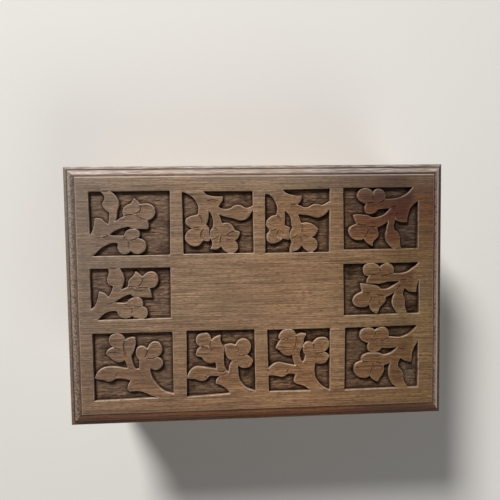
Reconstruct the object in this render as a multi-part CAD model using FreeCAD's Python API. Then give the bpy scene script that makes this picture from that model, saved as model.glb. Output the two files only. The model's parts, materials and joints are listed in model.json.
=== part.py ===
import FreeCAD, Part
import math
import os

# A joined wooden box with a carved, moulded lid on two butt hinges.
# X runs along the length, the front faces -Y, Z is up and the box stands on Z = 0.

# Lid board
LID_LENGTH = 350.0
LID_WIDTH = 238.0
LID_THICKNESS = 16.0
LID_OVERHANG = 9.0
LID_ARRIS = 0.8

# Moulding run round the lid: a ledge just below the face, a shallow ovolo, a step and a flat fillet
LEDGE_DROP = 1.5
LEDGE_WIDTH = 2.1
OVOLO_WIDTH = 4.8
OVOLO_DROP = 3.1
OVOLO_SWELL = 0.7
FILLET_STEP = 1.9
FILLET_WIDTH = 3.1

# Sunk panels of the lid: the second inner panel and the middle row take what is left
BORDER_ENDS = 13.0
BORDER_BACK = 12.5
BORDER_FRONT = 15.0
STILE = 11.5
MIDDLE_STILE = 10.5
RAIL = 12.0
CORNER_LENGTH = 72.5
INNER_LENGTH = 64.5
BACK_ROW = 58.5
FRONT_ROW = 61.5
GROUND_DEPTH = 3.4

# Sprig carved in each panel, its petals pared round in short straight cuts
PETAL_CUTS = 16
FAR_STEM = 5.5
FAR_FLARE = 3.0
FAR_BOW = 1.2
NEAR_STEM = 8.5
NEAR_FLARE = 1.5
NEAR_BOW = -0.8
BUD_STEM = 5.5
BUD_FLARE = 1.0
BUD_BOW = 0.6
BUD_RADIUS = 7.0
LEAF_BELLY = 10.0
LEAF_BACK = 3.0
TOE_BOW = 3.5
HEEL_BOW = 2.0
ROOT_MARGIN = 2.0

# Where the branches of a sprig start, and the corners of its root, out from the fork and the barb
FAR_START = (-5.5, -1.0)
NEAR_START = (3.5, -1.0)
LEAF_START = (-2.0, -0.5)
BUD_START = (-4.0, 2.5)
NECK = (8.0, 4.0)
CROTCH = (-4.0, 1.0)
SHOULDER = (3.0, 7.0)

# Walls, dovetailed at the corners
WALL = 11.0
WALL_HEIGHT = 108.0
TAILS = 4
DOVETAIL_PIN = 6.0
DOVETAIL_SLOPE = 1.0 / 6.0

# Bottom panel, held in a groove round the walls
BOTTOM_THICKNESS = 6.0
BOTTOM_RISE = 10.0
GROOVE_DEPTH = 5.0
GROOVE_PLAY = 0.3

# Plinth, mitred round the foot of the walls and pinned to them
PLINTH_HEIGHT = 22.0
PLINTH_THICKNESS = 8.0
PLINTH_ROUND = 5.0
PLINTH_STEP = 1.2
BRAD_LENGTH = 13.0
BRAD_THICKNESS = 1.4
BRAD_HEAD = 2.6
BRAD_HEAD_DEPTH = 0.8
BRAD_RISE = 5.0
BRAD_SPACING = 110.0

# Butt hinges
HINGE_LENGTH = 40.0
HINGE_INSET = 60.0
LEAF_WIDTH = 9.0
LEAF_THICKNESS = 1.6
LEAF_SINK = 0.1
KNUCKLES = 3
KNUCKLE_RADIUS = 2.75
KNUCKLE_GAP = 0.2
AXIS_SETBACK = 1.9
HINGE_PIN_RADIUS = 1.4
TURNING_CLEARANCE = 0.06
FIXED_CLEARANCE = 0.02
RELIEF = 0.35

# Hinge screws
SCREW_LENGTH = 11.0
SCREW_RADIUS = 1.4
SCREW_HEAD = 2.5
SCREW_SPACING = 24.0
SCREW_FLATS = 20
SCREW_PLAY = 0.03

body_length = LID_LENGTH - 2 * LID_OVERHANG
body_width = LID_WIDTH - 2 * LID_OVERHANG
lid_top = WALL_HEIGHT + LID_THICKNESS
face_length = LID_LENGTH - 2 * (LEDGE_WIDTH + OVOLO_WIDTH + FILLET_WIDTH)
face_width = LID_WIDTH - 2 * (LEDGE_WIDTH + OVOLO_WIDTH + FILLET_WIDTH)
back_face = body_width / 2
axis_y = back_face + AXIS_SETBACK
axis_z = WALL_HEIGHT

V = FreeCAD.Vector
os.makedirs("parts", exist_ok=True)


def save(name, shape):
    shape.exportStep("parts/" + name + ".step")


def box(x0, x1, y0, y1, z0, z1):
    return Part.makeBox(x1 - x0, y1 - y0, z1 - z0, V(x0, y0, z0))


def edge(a, b, through=None):
    if through is None:
        return Part.makeLine(V(*a), V(*b))
    return Part.Arc(V(*a), V(*through), V(*b)).toShape()


def face(edges):
    return Part.Face(Part.Wire(Part.__sortEdges__(edges)))


def moulded(length, width, side):
    # A board with one moulding on all four edges: the common part of two long extrusions.
    # side(half) lists the edges of the right-hand profile, in (distance, height) pairs.
    def section(half, turn):
        edges = []
        for sign in (1, -1):
            for points in side(half):
                ends = [turn(sign * d, z) for d, z in points]
                edges.append(edge(ends[0], ends[-1], ends[1] if len(ends) == 3 else None))
        low, high = side(half)[0][0], side(half)[-1][-1]
        for d, z in (low, high):
            edges.append(edge(turn(-d, z), turn(d, z)))
        return face(edges)

    along = section(width / 2, lambda d, z: (-length / 2, d, z)).extrude(V(length, 0, 0))
    across = section(length / 2, lambda d, z: (d, -width / 2, z)).extrude(V(0, width, 0))
    return along.common(across)


def ovolo(outer, low, inner, high):
    # Quarter round from (outer, low) up and in to (inner, high), as three points.
    middle = (inner + (outer - inner) * math.sqrt(0.5), low + (high - low) * math.sqrt(0.5))
    return [(outer, low), middle, (inner, high)]


def bowed(a, b, bow):
    # Middle of an arc from a to b that swells to the left by bow.
    reach = math.hypot(b[0] - a[0], b[1] - a[1])
    x = (a[0] + b[0]) / 2 - (b[1] - a[1]) / reach * bow
    y = (a[1] + b[1]) / 2 + (b[0] - a[0]) / reach * bow
    return (x, y)


# Lid moulding, from the eased lower arris up to the face
def lid_side(half):
    crown_level = lid_top - LEDGE_DROP
    foot_level = crown_level - OVOLO_DROP
    fillet_level = foot_level - FILLET_STEP
    foot = half - FILLET_WIDTH
    crown = foot - OVOLO_WIDTH
    edge_of_face = crown - LEDGE_WIDTH
    middle = bowed((foot, foot_level), (crown, crown_level), -OVOLO_SWELL)
    return [
        [(half - LID_ARRIS, WALL_HEIGHT), (half, WALL_HEIGHT + LID_ARRIS)],
        [(half, WALL_HEIGHT + LID_ARRIS), (half, fillet_level)],
        [(half, fillet_level), (foot, fillet_level)],
        [(foot, fillet_level), (foot, foot_level)],
        [(foot, foot_level), middle, (crown, crown_level)],
        [(crown, crown_level), (edge_of_face, crown_level)],
        [(edge_of_face, crown_level), (edge_of_face, lid_top)],
    ]


lid = moulded(LID_LENGTH, LID_WIDTH, lid_side)


# Sprig outlines, drawn with the root at the lower right of a panel
def pared(x, y, radius, start=0.0, sweep=2 * math.pi):
    # Corners of a petal's edge.
    cuts = round(PETAL_CUTS * sweep / (2 * math.pi))
    angles = [start + sweep * i / cuts for i in range(cuts + 1)]
    return [V(x + radius * math.cos(t), y + radius * math.sin(t), 0) for t in angles]


def disc(x, y, radius):
    return Part.Face(Part.makePolygon(pared(x, y, radius)))


def pointed(x, y, radius, tip_x, tip_y):
    # A round petal drawn out to a point.
    reach = math.hypot(tip_x - x, tip_y - y)
    heading = math.atan2(tip_y - y, tip_x - x)
    spread = math.acos(radius / reach)
    points = pared(x, y, radius, heading + spread, 2 * (math.pi - spread))
    return Part.Face(Part.makePolygon([V(tip_x, tip_y, 0)] + points + [V(tip_x, tip_y, 0)]))


def flat(p):
    return (p[0], p[1], 0)


def shifted(p, by):
    return (p[0] + by[0], p[1] + by[1])


def stem(a, width_a, b, width_b, bow):
    # A tapering stem from a to b.
    reach = math.hypot(b[0] - a[0], b[1] - a[1])
    nx, ny = -(b[1] - a[1]) / reach, (b[0] - a[0]) / reach
    middle = bowed(a, b, bow)
    sides = []
    for sign in (0.5, -0.5):
        rows = ((a, width_a), (middle, (width_a + width_b) / 2), (b, width_b))
        sides.append([(p[0] + nx * w * sign, p[1] + ny * w * sign, 0) for p, w in rows])
    left, right = sides
    return face([
        edge(left[0], left[2], left[1]),
        edge(right[0], right[2], right[1]),
        edge(left[0], right[0]),
        edge(left[2], right[2]),
    ])


def leaf(base, tip):
    return face([
        edge(flat(base), flat(tip), flat(bowed(base, tip, LEAF_BACK))),
        edge(flat(base), flat(tip), flat(bowed(base, tip, -LEAF_BELLY))),
    ])


def root(width, fork, barb, heel, toe):
    # The flared foot of the sprig, which grows out of the frame at the lower right.
    neck = shifted(fork, NECK)
    outer = width + ROOT_MARGIN
    corners = [(heel[0], -ROOT_MARGIN), (outer, -ROOT_MARGIN), (outer, toe[1])]
    path = [neck, shifted(fork, CROTCH), shifted(barb, SHOULDER), barb]
    edges = [edge(flat(toe), flat(neck), flat(bowed(toe, neck, TOE_BOW)))]
    edges += [edge(flat(p), flat(q)) for p, q in zip(path, path[1:])]
    edges.append(edge(flat(barb), flat(heel), flat(bowed(barb, heel, HEEL_BOW))))
    outside = [heel] + corners + [toe]
    edges += [edge(flat(p), flat(q)) for p, q in zip(outside, outside[1:]) if p != q]
    return face(edges)


# Petals about each blossom's heart: centre, radius and, where the petal is pointed, its tip
FAR_PETALS = [
    (-5.8, 7.0, 7.1),
    (5.5, 1.5, 5.2, 10.8, 10.2),
    (-6.0, -4.5, 6.0, -16.0, -4.6),
    (-2.6, -7.5, 5.8),
]
NEAR_PETALS = [
    (5.4, 6.4, 7.2),
    (-5.4, 2.8, 5.8),
    (6.0, -6.5, 6.3),
]

# Where each panel's sprig has its far and near blossom, its fork, barb, heel and toe,
# and its leaf tip or its bud and bud tip, as shares of the panel
SPRIGS = {
    ("left", "back"):
        (-90, (.40, .62), (.78, .51), (.64, .26), (.43, .08), .68, .02, (.16, .28), (-.01, .18)),
    ("inner left", "back"):
        (180, (.43, .74), (.78, .59), (.65, .28), (.44, .11), .70, .01, (-.01, .26)),
    ("inner right", "back"):
        (180, (.40, .75), (.78, .62), (.68, .28), (.43, .11), .73, .04, (-.01, .23)),
    ("right", "back"):
        (90, (.40, .71), (.80, .62), (.69, .33), (.46, .16), .81, .08, (.24, .35), (-.01, .24)),
    ("left", "middle"):
        (-90, (.35, .64), (.76, .51), (.63, .25), (.46, .10), .75, .08, (.18, .30), (-.01, .22)),
    ("right", "middle"):
        (90, (.40, .67), (.75, .53), (.62, .22), (.43, .03), .69, .01, (.25, .28), (-.01, .17)),
    ("left", "front"):
        (0, (.38, .77), (.68, .63), (.59, .36), (.42, .15), .80, .05, (.02, .33)),
    ("inner left", "front"):
        (0, (.36, .74), (.74, .63), (.61, .34), (.42, .20), .64, .05, (-.01, .31)),
    ("inner right", "front"):
        (0, (.43, .77), (.76, .63), (.61, .34), (.43, .18), .66, .03, (-.01, .33)),
    ("right", "front"):
        (90, (.42, .65), (.79, .59), (.65, .26), (.44, .10), .79, .02, (.24, .31), (-.01, .19)),
}


def petals(heart, kinds):
    shapes = []
    for x, y, radius, *tip in kinds:
        place = [heart[0] + x, heart[1] + y, radius]
        if tip:
            shapes.append(pointed(*place, heart[0] + tip[0], heart[1] + tip[1]))
        else:
            shapes.append(disc(*place))
    return shapes


def sprig(width, height, far, near, fork, barb, heel, toe, growth):
    def at(share):
        return (share[0] * width, share[1] * height)

    fork, barb = at(fork), at(barb)
    shapes = petals(at(far), FAR_PETALS) + petals(at(near), NEAR_PETALS)
    shapes.append(stem(shifted(fork, FAR_START), FAR_STEM + FAR_FLARE, at(far), FAR_STEM, FAR_BOW))
    shapes.append(stem(shifted(fork, NEAR_START), NEAR_STEM + NEAR_FLARE, at(near), NEAR_STEM, NEAR_BOW))
    if len(growth) == 1:
        shapes.append(leaf(shifted(fork, LEAF_START), at(growth[0])))
    else:
        bud = at(growth[0])
        shapes.append(stem(shifted(fork, BUD_START), BUD_STEM + BUD_FLARE, bud, BUD_STEM, BUD_BOW))
        shapes.append(pointed(bud[0], bud[1], BUD_RADIUS, *at(growth[1])))
    shapes.append(root(width, fork, barb, at((heel, 0)), at((1, toe))))
    return shapes


# Panel spans along X and Y, set out from the edges of the face
x_left = -face_length / 2 + BORDER_ENDS
x_inner = x_left + CORNER_LENGTH + STILE
x_right = face_length / 2 - BORDER_ENDS
y_back = face_width / 2 - BORDER_BACK
y_front = -face_width / 2 + BORDER_FRONT
columns = {
    "left": (x_left, x_left + CORNER_LENGTH),
    "inner left": (x_inner, x_inner + INNER_LENGTH),
    "inner right": (x_inner + INNER_LENGTH + MIDDLE_STILE, x_right - CORNER_LENGTH - STILE),
    "right": (x_right - CORNER_LENGTH, x_right),
}
rows = {
    "back": (y_back - BACK_ROW, y_back),
    "middle": (y_front + FRONT_ROW + RAIL, y_back - BACK_ROW - RAIL),
    "front": (y_front, y_front + FRONT_ROW),
}

# Cut the ground of each panel away round its sprig
grounds = []
for (column, row), (turn, far, near, fork, barb, heel, toe, *growth) in SPRIGS.items():
    (x0, x1), (y0, y1) = columns[column], rows[row]
    width, height = (x1 - x0, y1 - y0) if turn in (0, 180) else (y1 - y0, x1 - x0)
    corner = {0: (x0, y0), -90: (x0, y1), 180: (x1, y1), 90: (x1, y0)}[turn]
    shapes = sprig(width, height, far, near, fork, barb, heel, toe, growth)
    ground = Part.makePlane(width, height).cut(shapes)
    ground.Placement = FreeCAD.Placement(
        V(corner[0], corner[1], lid_top - GROUND_DEPTH), FreeCAD.Rotation(V(0, 0, 1), turn))
    grounds += [piece.extrude(V(0, 0, GROUND_DEPTH + 1)) for piece in ground.Faces]
lid = lid.cut(grounds)


# Dovetailed walls: the ends carry the pins, the front and back the tails
def dovetail_pins(x_sign, y_sign):
    # The pins of one corner, narrow at the outer end, with half pins at top and bottom.
    base = body_length / 2 - WALL
    tip = body_length / 2
    y_start = y_sign * body_width / 2 - (WALL if y_sign > 0 else 0)
    pins = []
    for i in range(TAILS + 1):
        middle = WALL_HEIGHT * i / TAILS
        narrow = DOVETAIL_PIN / 2
        wide = narrow + WALL * DOVETAIL_SLOPE
        corners = [(base, -wide), (tip, -narrow), (tip, narrow), (base, wide)]
        points = []
        for x, rise in corners:
            height = min(max(middle + rise, 0), WALL_HEIGHT)
            points.append(V(x_sign * x, y_start, height))
        outline = Part.Face(Part.makePolygon(points + points[:1]))
        pins.append(outline.extrude(V(0, WALL, 0)))
    return pins


inner_x = body_length / 2 - WALL
inner_y = body_width / 2 - WALL
groove_x = inner_x + GROOVE_DEPTH
groove_y = inner_y + GROOVE_DEPTH
groove = box(-groove_x, groove_x, -groove_y, groove_y,
             BOTTOM_RISE, BOTTOM_RISE + BOTTOM_THICKNESS + GROOVE_PLAY)
bottom_x = groove_x - GROOVE_PLAY
bottom_y = groove_y - GROOVE_PLAY
bottom = box(-bottom_x, bottom_x, -bottom_y, bottom_y, BOTTOM_RISE, BOTTOM_RISE + BOTTOM_THICKNESS)
save("bottom_panel", bottom)

walls = {}
for name, sign in (("left_end_board", -1), ("right_end_board", 1)):
    outer, inner = sorted((sign * body_length / 2, sign * inner_x))
    board = box(outer, inner, -inner_y, inner_y, 0, WALL_HEIGHT)
    board = board.fuse(dovetail_pins(sign, -1) + dovetail_pins(sign, 1)).removeSplitter()
    walls[name] = board.cut(groove)
for name, sign in (("front_board", -1), ("back_board", 1)):
    low, high = sorted((sign * body_width / 2, sign * inner_y))
    board = box(-body_length / 2, body_length / 2, low, high, 0, WALL_HEIGHT)
    walls[name] = board.cut(dovetail_pins(-1, sign) + dovetail_pins(1, sign) + [groove])


# Plinth: a moulded ring cut into four mitred strips
def plinth_side(half):
    shoulder = PLINTH_HEIGHT - PLINTH_ROUND - PLINTH_STEP
    return [
        [(half, 0), (half, shoulder)],
        [(half, shoulder), (half - PLINTH_STEP, shoulder)],
        [(half - PLINTH_STEP, shoulder), (half - PLINTH_STEP, shoulder + PLINTH_STEP)],
        ovolo(half - PLINTH_STEP, shoulder + PLINTH_STEP, half - PLINTH_STEP - PLINTH_ROUND, PLINTH_HEIGHT),
    ]


ring = moulded(body_length + 2 * PLINTH_THICKNESS, body_width + 2 * PLINTH_THICKNESS, plinth_side)
ring = ring.cut(box(-body_length / 2, body_length / 2, -body_width / 2, body_width / 2,
                    -1, PLINTH_HEIGHT + 1))
plinth = {}
reach = PLINTH_THICKNESS + 1
for name, a, b in (("plinth_front", (-1, -1), (1, -1)), ("plinth_right", (1, -1), (1, 1)),
                   ("plinth_back", (1, 1), (-1, 1)), ("plinth_left", (-1, 1), (-1, -1))):
    inner = [V(sx * body_length / 2, sy * body_width / 2, 0) for sx, sy in (a, b)]
    outer = [V(sx * (body_length / 2 + reach), sy * (body_width / 2 + reach), 0) for sx, sy in (b, a)]
    points = inner + outer
    mitred = Part.Face(Part.makePolygon(points + points[:1])).extrude(V(0, 0, PLINTH_HEIGHT))
    plinth[name] = ring.common(mitred)


# Cut brads that hold the plinth, driven square to the walls
def brad(play=0.0):
    half = BRAD_THICKNESS / 2 + play
    head = BRAD_HEAD / 2 + play
    shank = box(-half, half, -half, half, -BRAD_LENGTH - play, 0)
    return shank.fuse(box(-head, head, -half, half, -BRAD_HEAD_DEPTH - play, 0)).removeSplitter()


outer_x = body_length / 2 + PLINTH_THICKNESS
outer_y = body_width / 2 + PLINTH_THICKNESS
along_front = (-BRAD_SPACING, 0, BRAD_SPACING)
along_end = (-BRAD_SPACING / 2, BRAD_SPACING / 2)
drives = {
    ("plinth_front", "front_board"): [(x, -outer_y, V(1, 0, 0), 90) for x in along_front],
    ("plinth_back", "back_board"): [(x, outer_y, V(1, 0, 0), -90) for x in along_front],
    ("plinth_left", "left_end_board"): [(-outer_x, y, V(0, 1, 0), -90) for y in along_end],
    ("plinth_right", "right_end_board"): [(outer_x, y, V(0, 1, 0), 90) for y in along_end],
}
brads = []
for (strip, wall), places in drives.items():
    for x, y, spin, angle in places:
        place = FreeCAD.Placement(V(x, y, BRAD_RISE), FreeCAD.Rotation(spin, angle))
        hole = brad(FIXED_CLEARANCE)
        nail = brad()
        hole.Placement = place
        nail.Placement = place
        plinth[strip] = plinth[strip].cut(hole)
        walls[wall] = walls[wall].cut(hole)
        brads.append(nail)
save("plinth_brads", Part.makeCompound(brads))
for name, strip in plinth.items():
    save(name, strip)


# Butt hinges
def rod(radius, x0, x1):
    return Part.makeCylinder(radius, x1 - x0, V(x0, axis_y, axis_z), V(1, 0, 0))


def flats(radius, height):
    # Closed ring of corners about Z.
    angles = [2 * math.pi * i / SCREW_FLATS for i in range(SCREW_FLATS)]
    corners = [V(radius * math.cos(t), radius * math.sin(t), height) for t in angles]
    return corners + corners[:1]


def screw(play=0.0):
    # Countersunk screw pointing down from its head at the origin, round to within its flats.
    rings = []
    levels = (0, -LEAF_THICKNESS, -SCREW_LENGTH - play)
    for radius, height in zip((SCREW_HEAD, SCREW_RADIUS, SCREW_RADIUS), levels):
        rings.append(flats(radius + play, height))
    sides = [Part.Face(Part.makePolygon([upper[i], upper[i + 1], lower[i + 1], lower[i], upper[i]]))
             for upper, lower in zip(rings, rings[1:]) for i in range(SCREW_FLATS)]
    ends = [Part.Face(Part.makePolygon(rings[0])), Part.Face(Part.makePolygon(rings[-1]))]
    return Part.makeSolid(Part.makeShell(sides + ends))


for side, centre in (("left", HINGE_INSET - body_length / 2), ("right", body_length / 2 - HINGE_INSET)):
    start = centre - HINGE_LENGTH / 2
    end = centre + HINGE_LENGTH / 2
    pitch = HINGE_LENGTH / KNUCKLES
    save("hinge_" + side + "_pin", rod(HINGE_PIN_RADIUS, start, end))
    for leaf_name, up in (("body", -1), ("lid", 1)):
        near = axis_z + up * LEAF_SINK
        far = near + up * LEAF_THICKNESS
        low, high = sorted((near, far))
        own = [i for i in range(KNUCKLES) if (i % 2 == 0) == (up < 0)]
        plate = box(start, end, back_face - LEAF_WIDTH, axis_y, low, high)
        for i in range(KNUCKLES):
            if i not in own:
                x0, x1 = start + i * pitch - KNUCKLE_GAP / 2, start + (i + 1) * pitch + KNUCKLE_GAP / 2
                plate = plate.cut(rod(KNUCKLE_RADIUS + RELIEF, x0, x1))
        knuckles = []
        for i in own:
            x0 = start + i * pitch + (KNUCKLE_GAP / 2 if i else 0)
            x1 = start + (i + 1) * pitch - (KNUCKLE_GAP / 2 if i < KNUCKLES - 1 else 0)
            knuckles.append(rod(KNUCKLE_RADIUS, x0, x1))
        bore = HINGE_PIN_RADIUS + (FIXED_CLEARANCE if up < 0 else TURNING_CLEARANCE)
        plate = plate.fuse(knuckles).cut(rod(bore, start - 1, end + 1)).removeSplitter()

        # Gain for the leaf and a hollow for the knuckle, in the wall or the lid
        gain_low, gain_high = sorted((far, axis_z - up))
        gain = box(start - SCREW_PLAY, end + SCREW_PLAY, back_face - LEAF_WIDTH - SCREW_PLAY, axis_y,
                   gain_low, gain_high)
        hollow = rod(KNUCKLE_RADIUS + RELIEF, start - SCREW_PLAY, end + SCREW_PLAY)
        wood = lid if up > 0 else walls["back_board"]
        wood = wood.cut([gain, hollow])

        # Two screws through the leaf into the wood
        screws = []
        for i in (-0.5, 0.5):
            turn = FreeCAD.Rotation(V(1, 0, 0), 180 if up > 0 else 0)
            place = FreeCAD.Placement(V(centre + i * SCREW_SPACING, back_face - WALL / 2, near), turn)
            fixing = screw()
            hole = screw(SCREW_PLAY)
            fixing.Placement = place
            hole.Placement = place
            plate = plate.cut(hole)
            wood = wood.cut(hole)
            screws.append(fixing)
        if up > 0:
            lid = wood
        else:
            walls["back_board"] = wood
        save("hinge_" + side + "_" + leaf_name + "_leaf", plate)
        save("hinge_" + side + "_" + leaf_name + "_screws", Part.makeCompound(screws))

for name, board in walls.items():
    save(name, board)
save("lid_board", lid)
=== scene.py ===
import bpy
import json
import math
import numpy as np
from mathutils import Euler, Matrix, Vector, noise
from mathutils.geometry import delaunay_2d_cdt


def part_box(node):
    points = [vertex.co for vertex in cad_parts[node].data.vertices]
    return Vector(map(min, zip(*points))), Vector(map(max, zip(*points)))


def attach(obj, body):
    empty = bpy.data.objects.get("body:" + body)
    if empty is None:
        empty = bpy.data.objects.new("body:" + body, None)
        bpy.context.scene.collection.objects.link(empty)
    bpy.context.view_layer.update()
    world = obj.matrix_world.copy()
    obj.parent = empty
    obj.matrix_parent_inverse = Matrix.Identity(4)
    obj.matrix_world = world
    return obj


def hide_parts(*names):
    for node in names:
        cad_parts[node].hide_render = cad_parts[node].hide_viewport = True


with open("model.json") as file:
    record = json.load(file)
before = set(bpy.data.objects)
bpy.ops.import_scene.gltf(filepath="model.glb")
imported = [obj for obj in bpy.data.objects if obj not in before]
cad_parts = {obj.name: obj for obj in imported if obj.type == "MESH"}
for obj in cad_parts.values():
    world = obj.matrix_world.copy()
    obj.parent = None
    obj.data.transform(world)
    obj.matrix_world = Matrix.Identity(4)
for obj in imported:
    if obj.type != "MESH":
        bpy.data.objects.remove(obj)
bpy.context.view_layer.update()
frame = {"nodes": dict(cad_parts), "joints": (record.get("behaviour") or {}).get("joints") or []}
nodes = frame["nodes"]
# The pieces of the frame come in selected.
bpy.ops.object.select_all(action="DESELECT")

# Front and back boards: the long walls, sawn from brown oak and planed, with the tails of the dovetails.
# The wood has a tight open grain that runs along each board, and a dull waxed surface gone brown with age.


def linear(code):
    # The linear colour of an sRGB hex value.
    shares = [int(code[i:i + 2], 16) / 255 for i in (1, 3, 5)]
    return tuple(s / 12.92 if s <= 0.04045 else ((s + 0.055) / 1.055) ** 2.4 for s in shares) + (1.0,)


def add(tree, kind, inputs=None, **settings):
    # Adds a node with its settings. An input, by name or by number, is a value or an output to link from.
    made = tree.nodes.new(kind)
    for name, value in settings.items():
        setattr(made, name, value)
    for name, value in (inputs or {}).items():
        if isinstance(value, bpy.types.NodeSocket):
            tree.links.new(value, made.inputs[name])
        else:
            made.inputs[name].default_value = value
    return made.outputs


def brown_oak(name, turn, shift):
    # Waxed brown oak: bands of growth, fine fibres and short dark pores, all drawn out along the grain.
    # turn swings the grain about Z, and shift, in mm, gives each board its own part of the tree.
    material = bpy.data.materials.new(name)
    material.use_nodes = True
    tree = material.node_tree
    shader = tree.nodes["Principled BSDF"]
    place = add(tree, "ShaderNodeTexCoord")["Object"]
    wood = add(tree, "ShaderNodeMapping",
               {"Vector": place, "Location": shift, "Rotation": (0, 0, turn), "Scale": (1000, 1000, 1000)})[0]
    # Of each layer, its size in mm along, across and through the board, and the values it shows between.
    # Fibres and pores are drawn coarser than they are, because real ones are too fine to show.
    layers = {
        "growth": ((120, 6, 9), (0.36, 0.64)),
        "fibre": ((26, 0.34, 0.45), (0.1, 0.9)),
        "pore": ((5, 0.3, 0.4), (0.5, 0.62)),
        "patch": ((70, 40, 40), (0.35, 0.7)),
    }
    grain = {}
    for kind, (size, (least, most)) in layers.items():
        stretched = add(tree, "ShaderNodeMapping", {"Vector": wood, "Scale": [1 / s for s in size]})[0]
        if kind == "fibre":
            value = add(tree, "ShaderNodeTexVoronoi", {"Vector": stretched, "Scale": 1.0})["Color"]
        else:
            value = add(tree, "ShaderNodeTexNoise",
                        {"Vector": stretched, "Scale": 1.0, "Detail": 1.0, "Distortion": 0.1})[0]
        grain[kind] = add(tree, "ShaderNodeMapRange", {0: value, 1: least, 2: most})[0]
    streaks = add(tree, "ShaderNodeMath", {0: grain["growth"], 1: 0.1}, operation="MULTIPLY")[0]
    streaks = add(tree, "ShaderNodeMath", {0: grain["fibre"], 1: 0.9, 2: streaks},
                  operation="MULTIPLY_ADD")[0]
    colour = add(tree, "ShaderNodeMix", {0: streaks, 6: linear("#4F3724"), 7: linear("#C69F77")},
                 data_type="RGBA")[2]
    for kind, most, tint in (("patch", 0.4, "#7C5F46"), ("pore", 0.7, "#463020")):
        share = add(tree, "ShaderNodeMath", {0: grain[kind], 1: most}, operation="MULTIPLY")[0]
        colour = add(tree, "ShaderNodeMix", {0: share, 6: colour, 7: linear(tint)}, data_type="RGBA")[2]
    # End grain drinks in the finish, so it is darker.
    facing = add(tree, "ShaderNodeTexCoord")["Normal"]
    facing = add(tree, "ShaderNodeMapping", {"Vector": facing, "Rotation": (0, 0, turn)},
                 vector_type="VECTOR")[0]
    along = add(tree, "ShaderNodeSeparateXYZ", {0: facing})[0]
    along = add(tree, "ShaderNodeMath", {0: along}, operation="ABSOLUTE")[0]
    end_grain = add(tree, "ShaderNodeMapRange", {0: along, 1: 0.75, 2: 0.97})[0]
    colour = add(tree, "ShaderNodeMix", {0: end_grain, 6: colour, 7: linear("#A8917E")},
                 data_type="RGBA", blend_type="MULTIPLY")[2]
    tree.links.new(colour, shader.inputs["Base Color"])
    # The wax is smoother on the pale fibres, and the pores are open.
    rough = add(tree, "ShaderNodeMapRange", {0: grain["fibre"], 3: 0.6, 4: 0.46})[0]
    tree.links.new(rough, shader.inputs["Roughness"])
    height = add(tree, "ShaderNodeMath", {0: grain["pore"], 1: -0.7, 2: grain["fibre"]},
                 operation="MULTIPLY_ADD")[0]
    bump = add(tree, "ShaderNodeBump", {"Height": height, "Strength": 0.35, "Distance": 0.00025})[0]
    tree.links.new(bump, shader.inputs["Normal"])
    shader.inputs["Specular IOR Level"].default_value = 0.2
    return material


def ease(node, width):
    # Takes the sharpness off a piece's edges, as sanding and handling do. width is in mm.
    piece = nodes[node]
    piece.modifiers.new("joined", "WELD").merge_threshold = 1e-6
    eased = piece.modifiers.new("eased", "BEVEL")
    eased.width = width / 1000
    eased.segments = 2
    eased.limit_method = "ANGLE"
    eased.angle_limit = math.radians(30)


def finish(node, material):
    # Gives a piece of the frame one material.
    nodes[node].data.materials.clear()
    nodes[node].data.materials.append(material)


for node, shift in (("front_board", (40, 15, 3)), ("back_board", (310, 70, 22))):
    finish(node, brown_oak("brown oak, " + node.replace("_", " "), 0.0, shift))
    ease(node, 0.5)

# End boards: the short walls, of the same oak with the grain running from front to back.
# Their ends are cut to the pins of the dovetails, so their end grain shows on the front and back.
for node, shift in (("left_end_board", (15, 130, 8)), ("right_end_board", (520, 44, 31))):
    finish(node, brown_oak("brown oak, " + node.replace("_", " "), math.pi / 2, shift))
    ease(node, 0.5)

# Bottom panel: a thin oak board that floats in a groove round the walls, its grain along the box.
# It is planed and waxed like the walls, and a little less worn at the edges.
finish("bottom_panel", brown_oak("brown oak, bottom panel", 0.0, (90, 210, 55)))
ease("bottom_panel", 0.3)

# Plinth: four oak strips, moulded along the top edge, mitred at the corners and nailed round the foot.
# Each strip has its grain along its length.
for node, turn, shift in (
    ("plinth_front", 0.0, (12, 300, 4)),
    ("plinth_back", 0.0, (230, 340, 9)),
    ("plinth_left", math.pi / 2, (77, 390, 2)),
    ("plinth_right", math.pi / 2, (410, 420, 7)),
):
    finish(node, brown_oak("brown oak, " + node.replace("_", " "), turn, shift))
    ease(node, 0.4)

# Brads: square cut nails of mild steel, driven flush with the plinth. Age has left a dull blue-black skin
# with a little brown rust, so they show as small dark marks.
rust_spot = 0.5556
steel = bpy.data.materials.new("mild steel, cut and blued with age")
steel.use_nodes = True
tree = steel.node_tree
shader = tree.nodes["Principled BSDF"]
place = add(tree, "ShaderNodeTexCoord")["Object"]
speck = add(tree, "ShaderNodeTexNoise", {"Vector": place, "Scale": 1000 / rust_spot, "Detail": 3.0})[0]
rust = add(tree, "ShaderNodeMapRange", {0: speck, 1: 0.45, 2: 0.7})[0]
skin = add(tree, "ShaderNodeMix", {0: rust, 6: linear("#3A3734"), 7: linear("#54382A")}, data_type="RGBA")[2]
tree.links.new(skin, shader.inputs["Base Color"])
tree.links.new(add(tree, "ShaderNodeMapRange", {0: rust, 3: 0.45, 4: 0.8})[0], shader.inputs["Roughness"])
shader.inputs["Metallic"].default_value = 0.8
finish("plinth_brads", steel)
ease("plinth_brads", 0.15)

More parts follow.
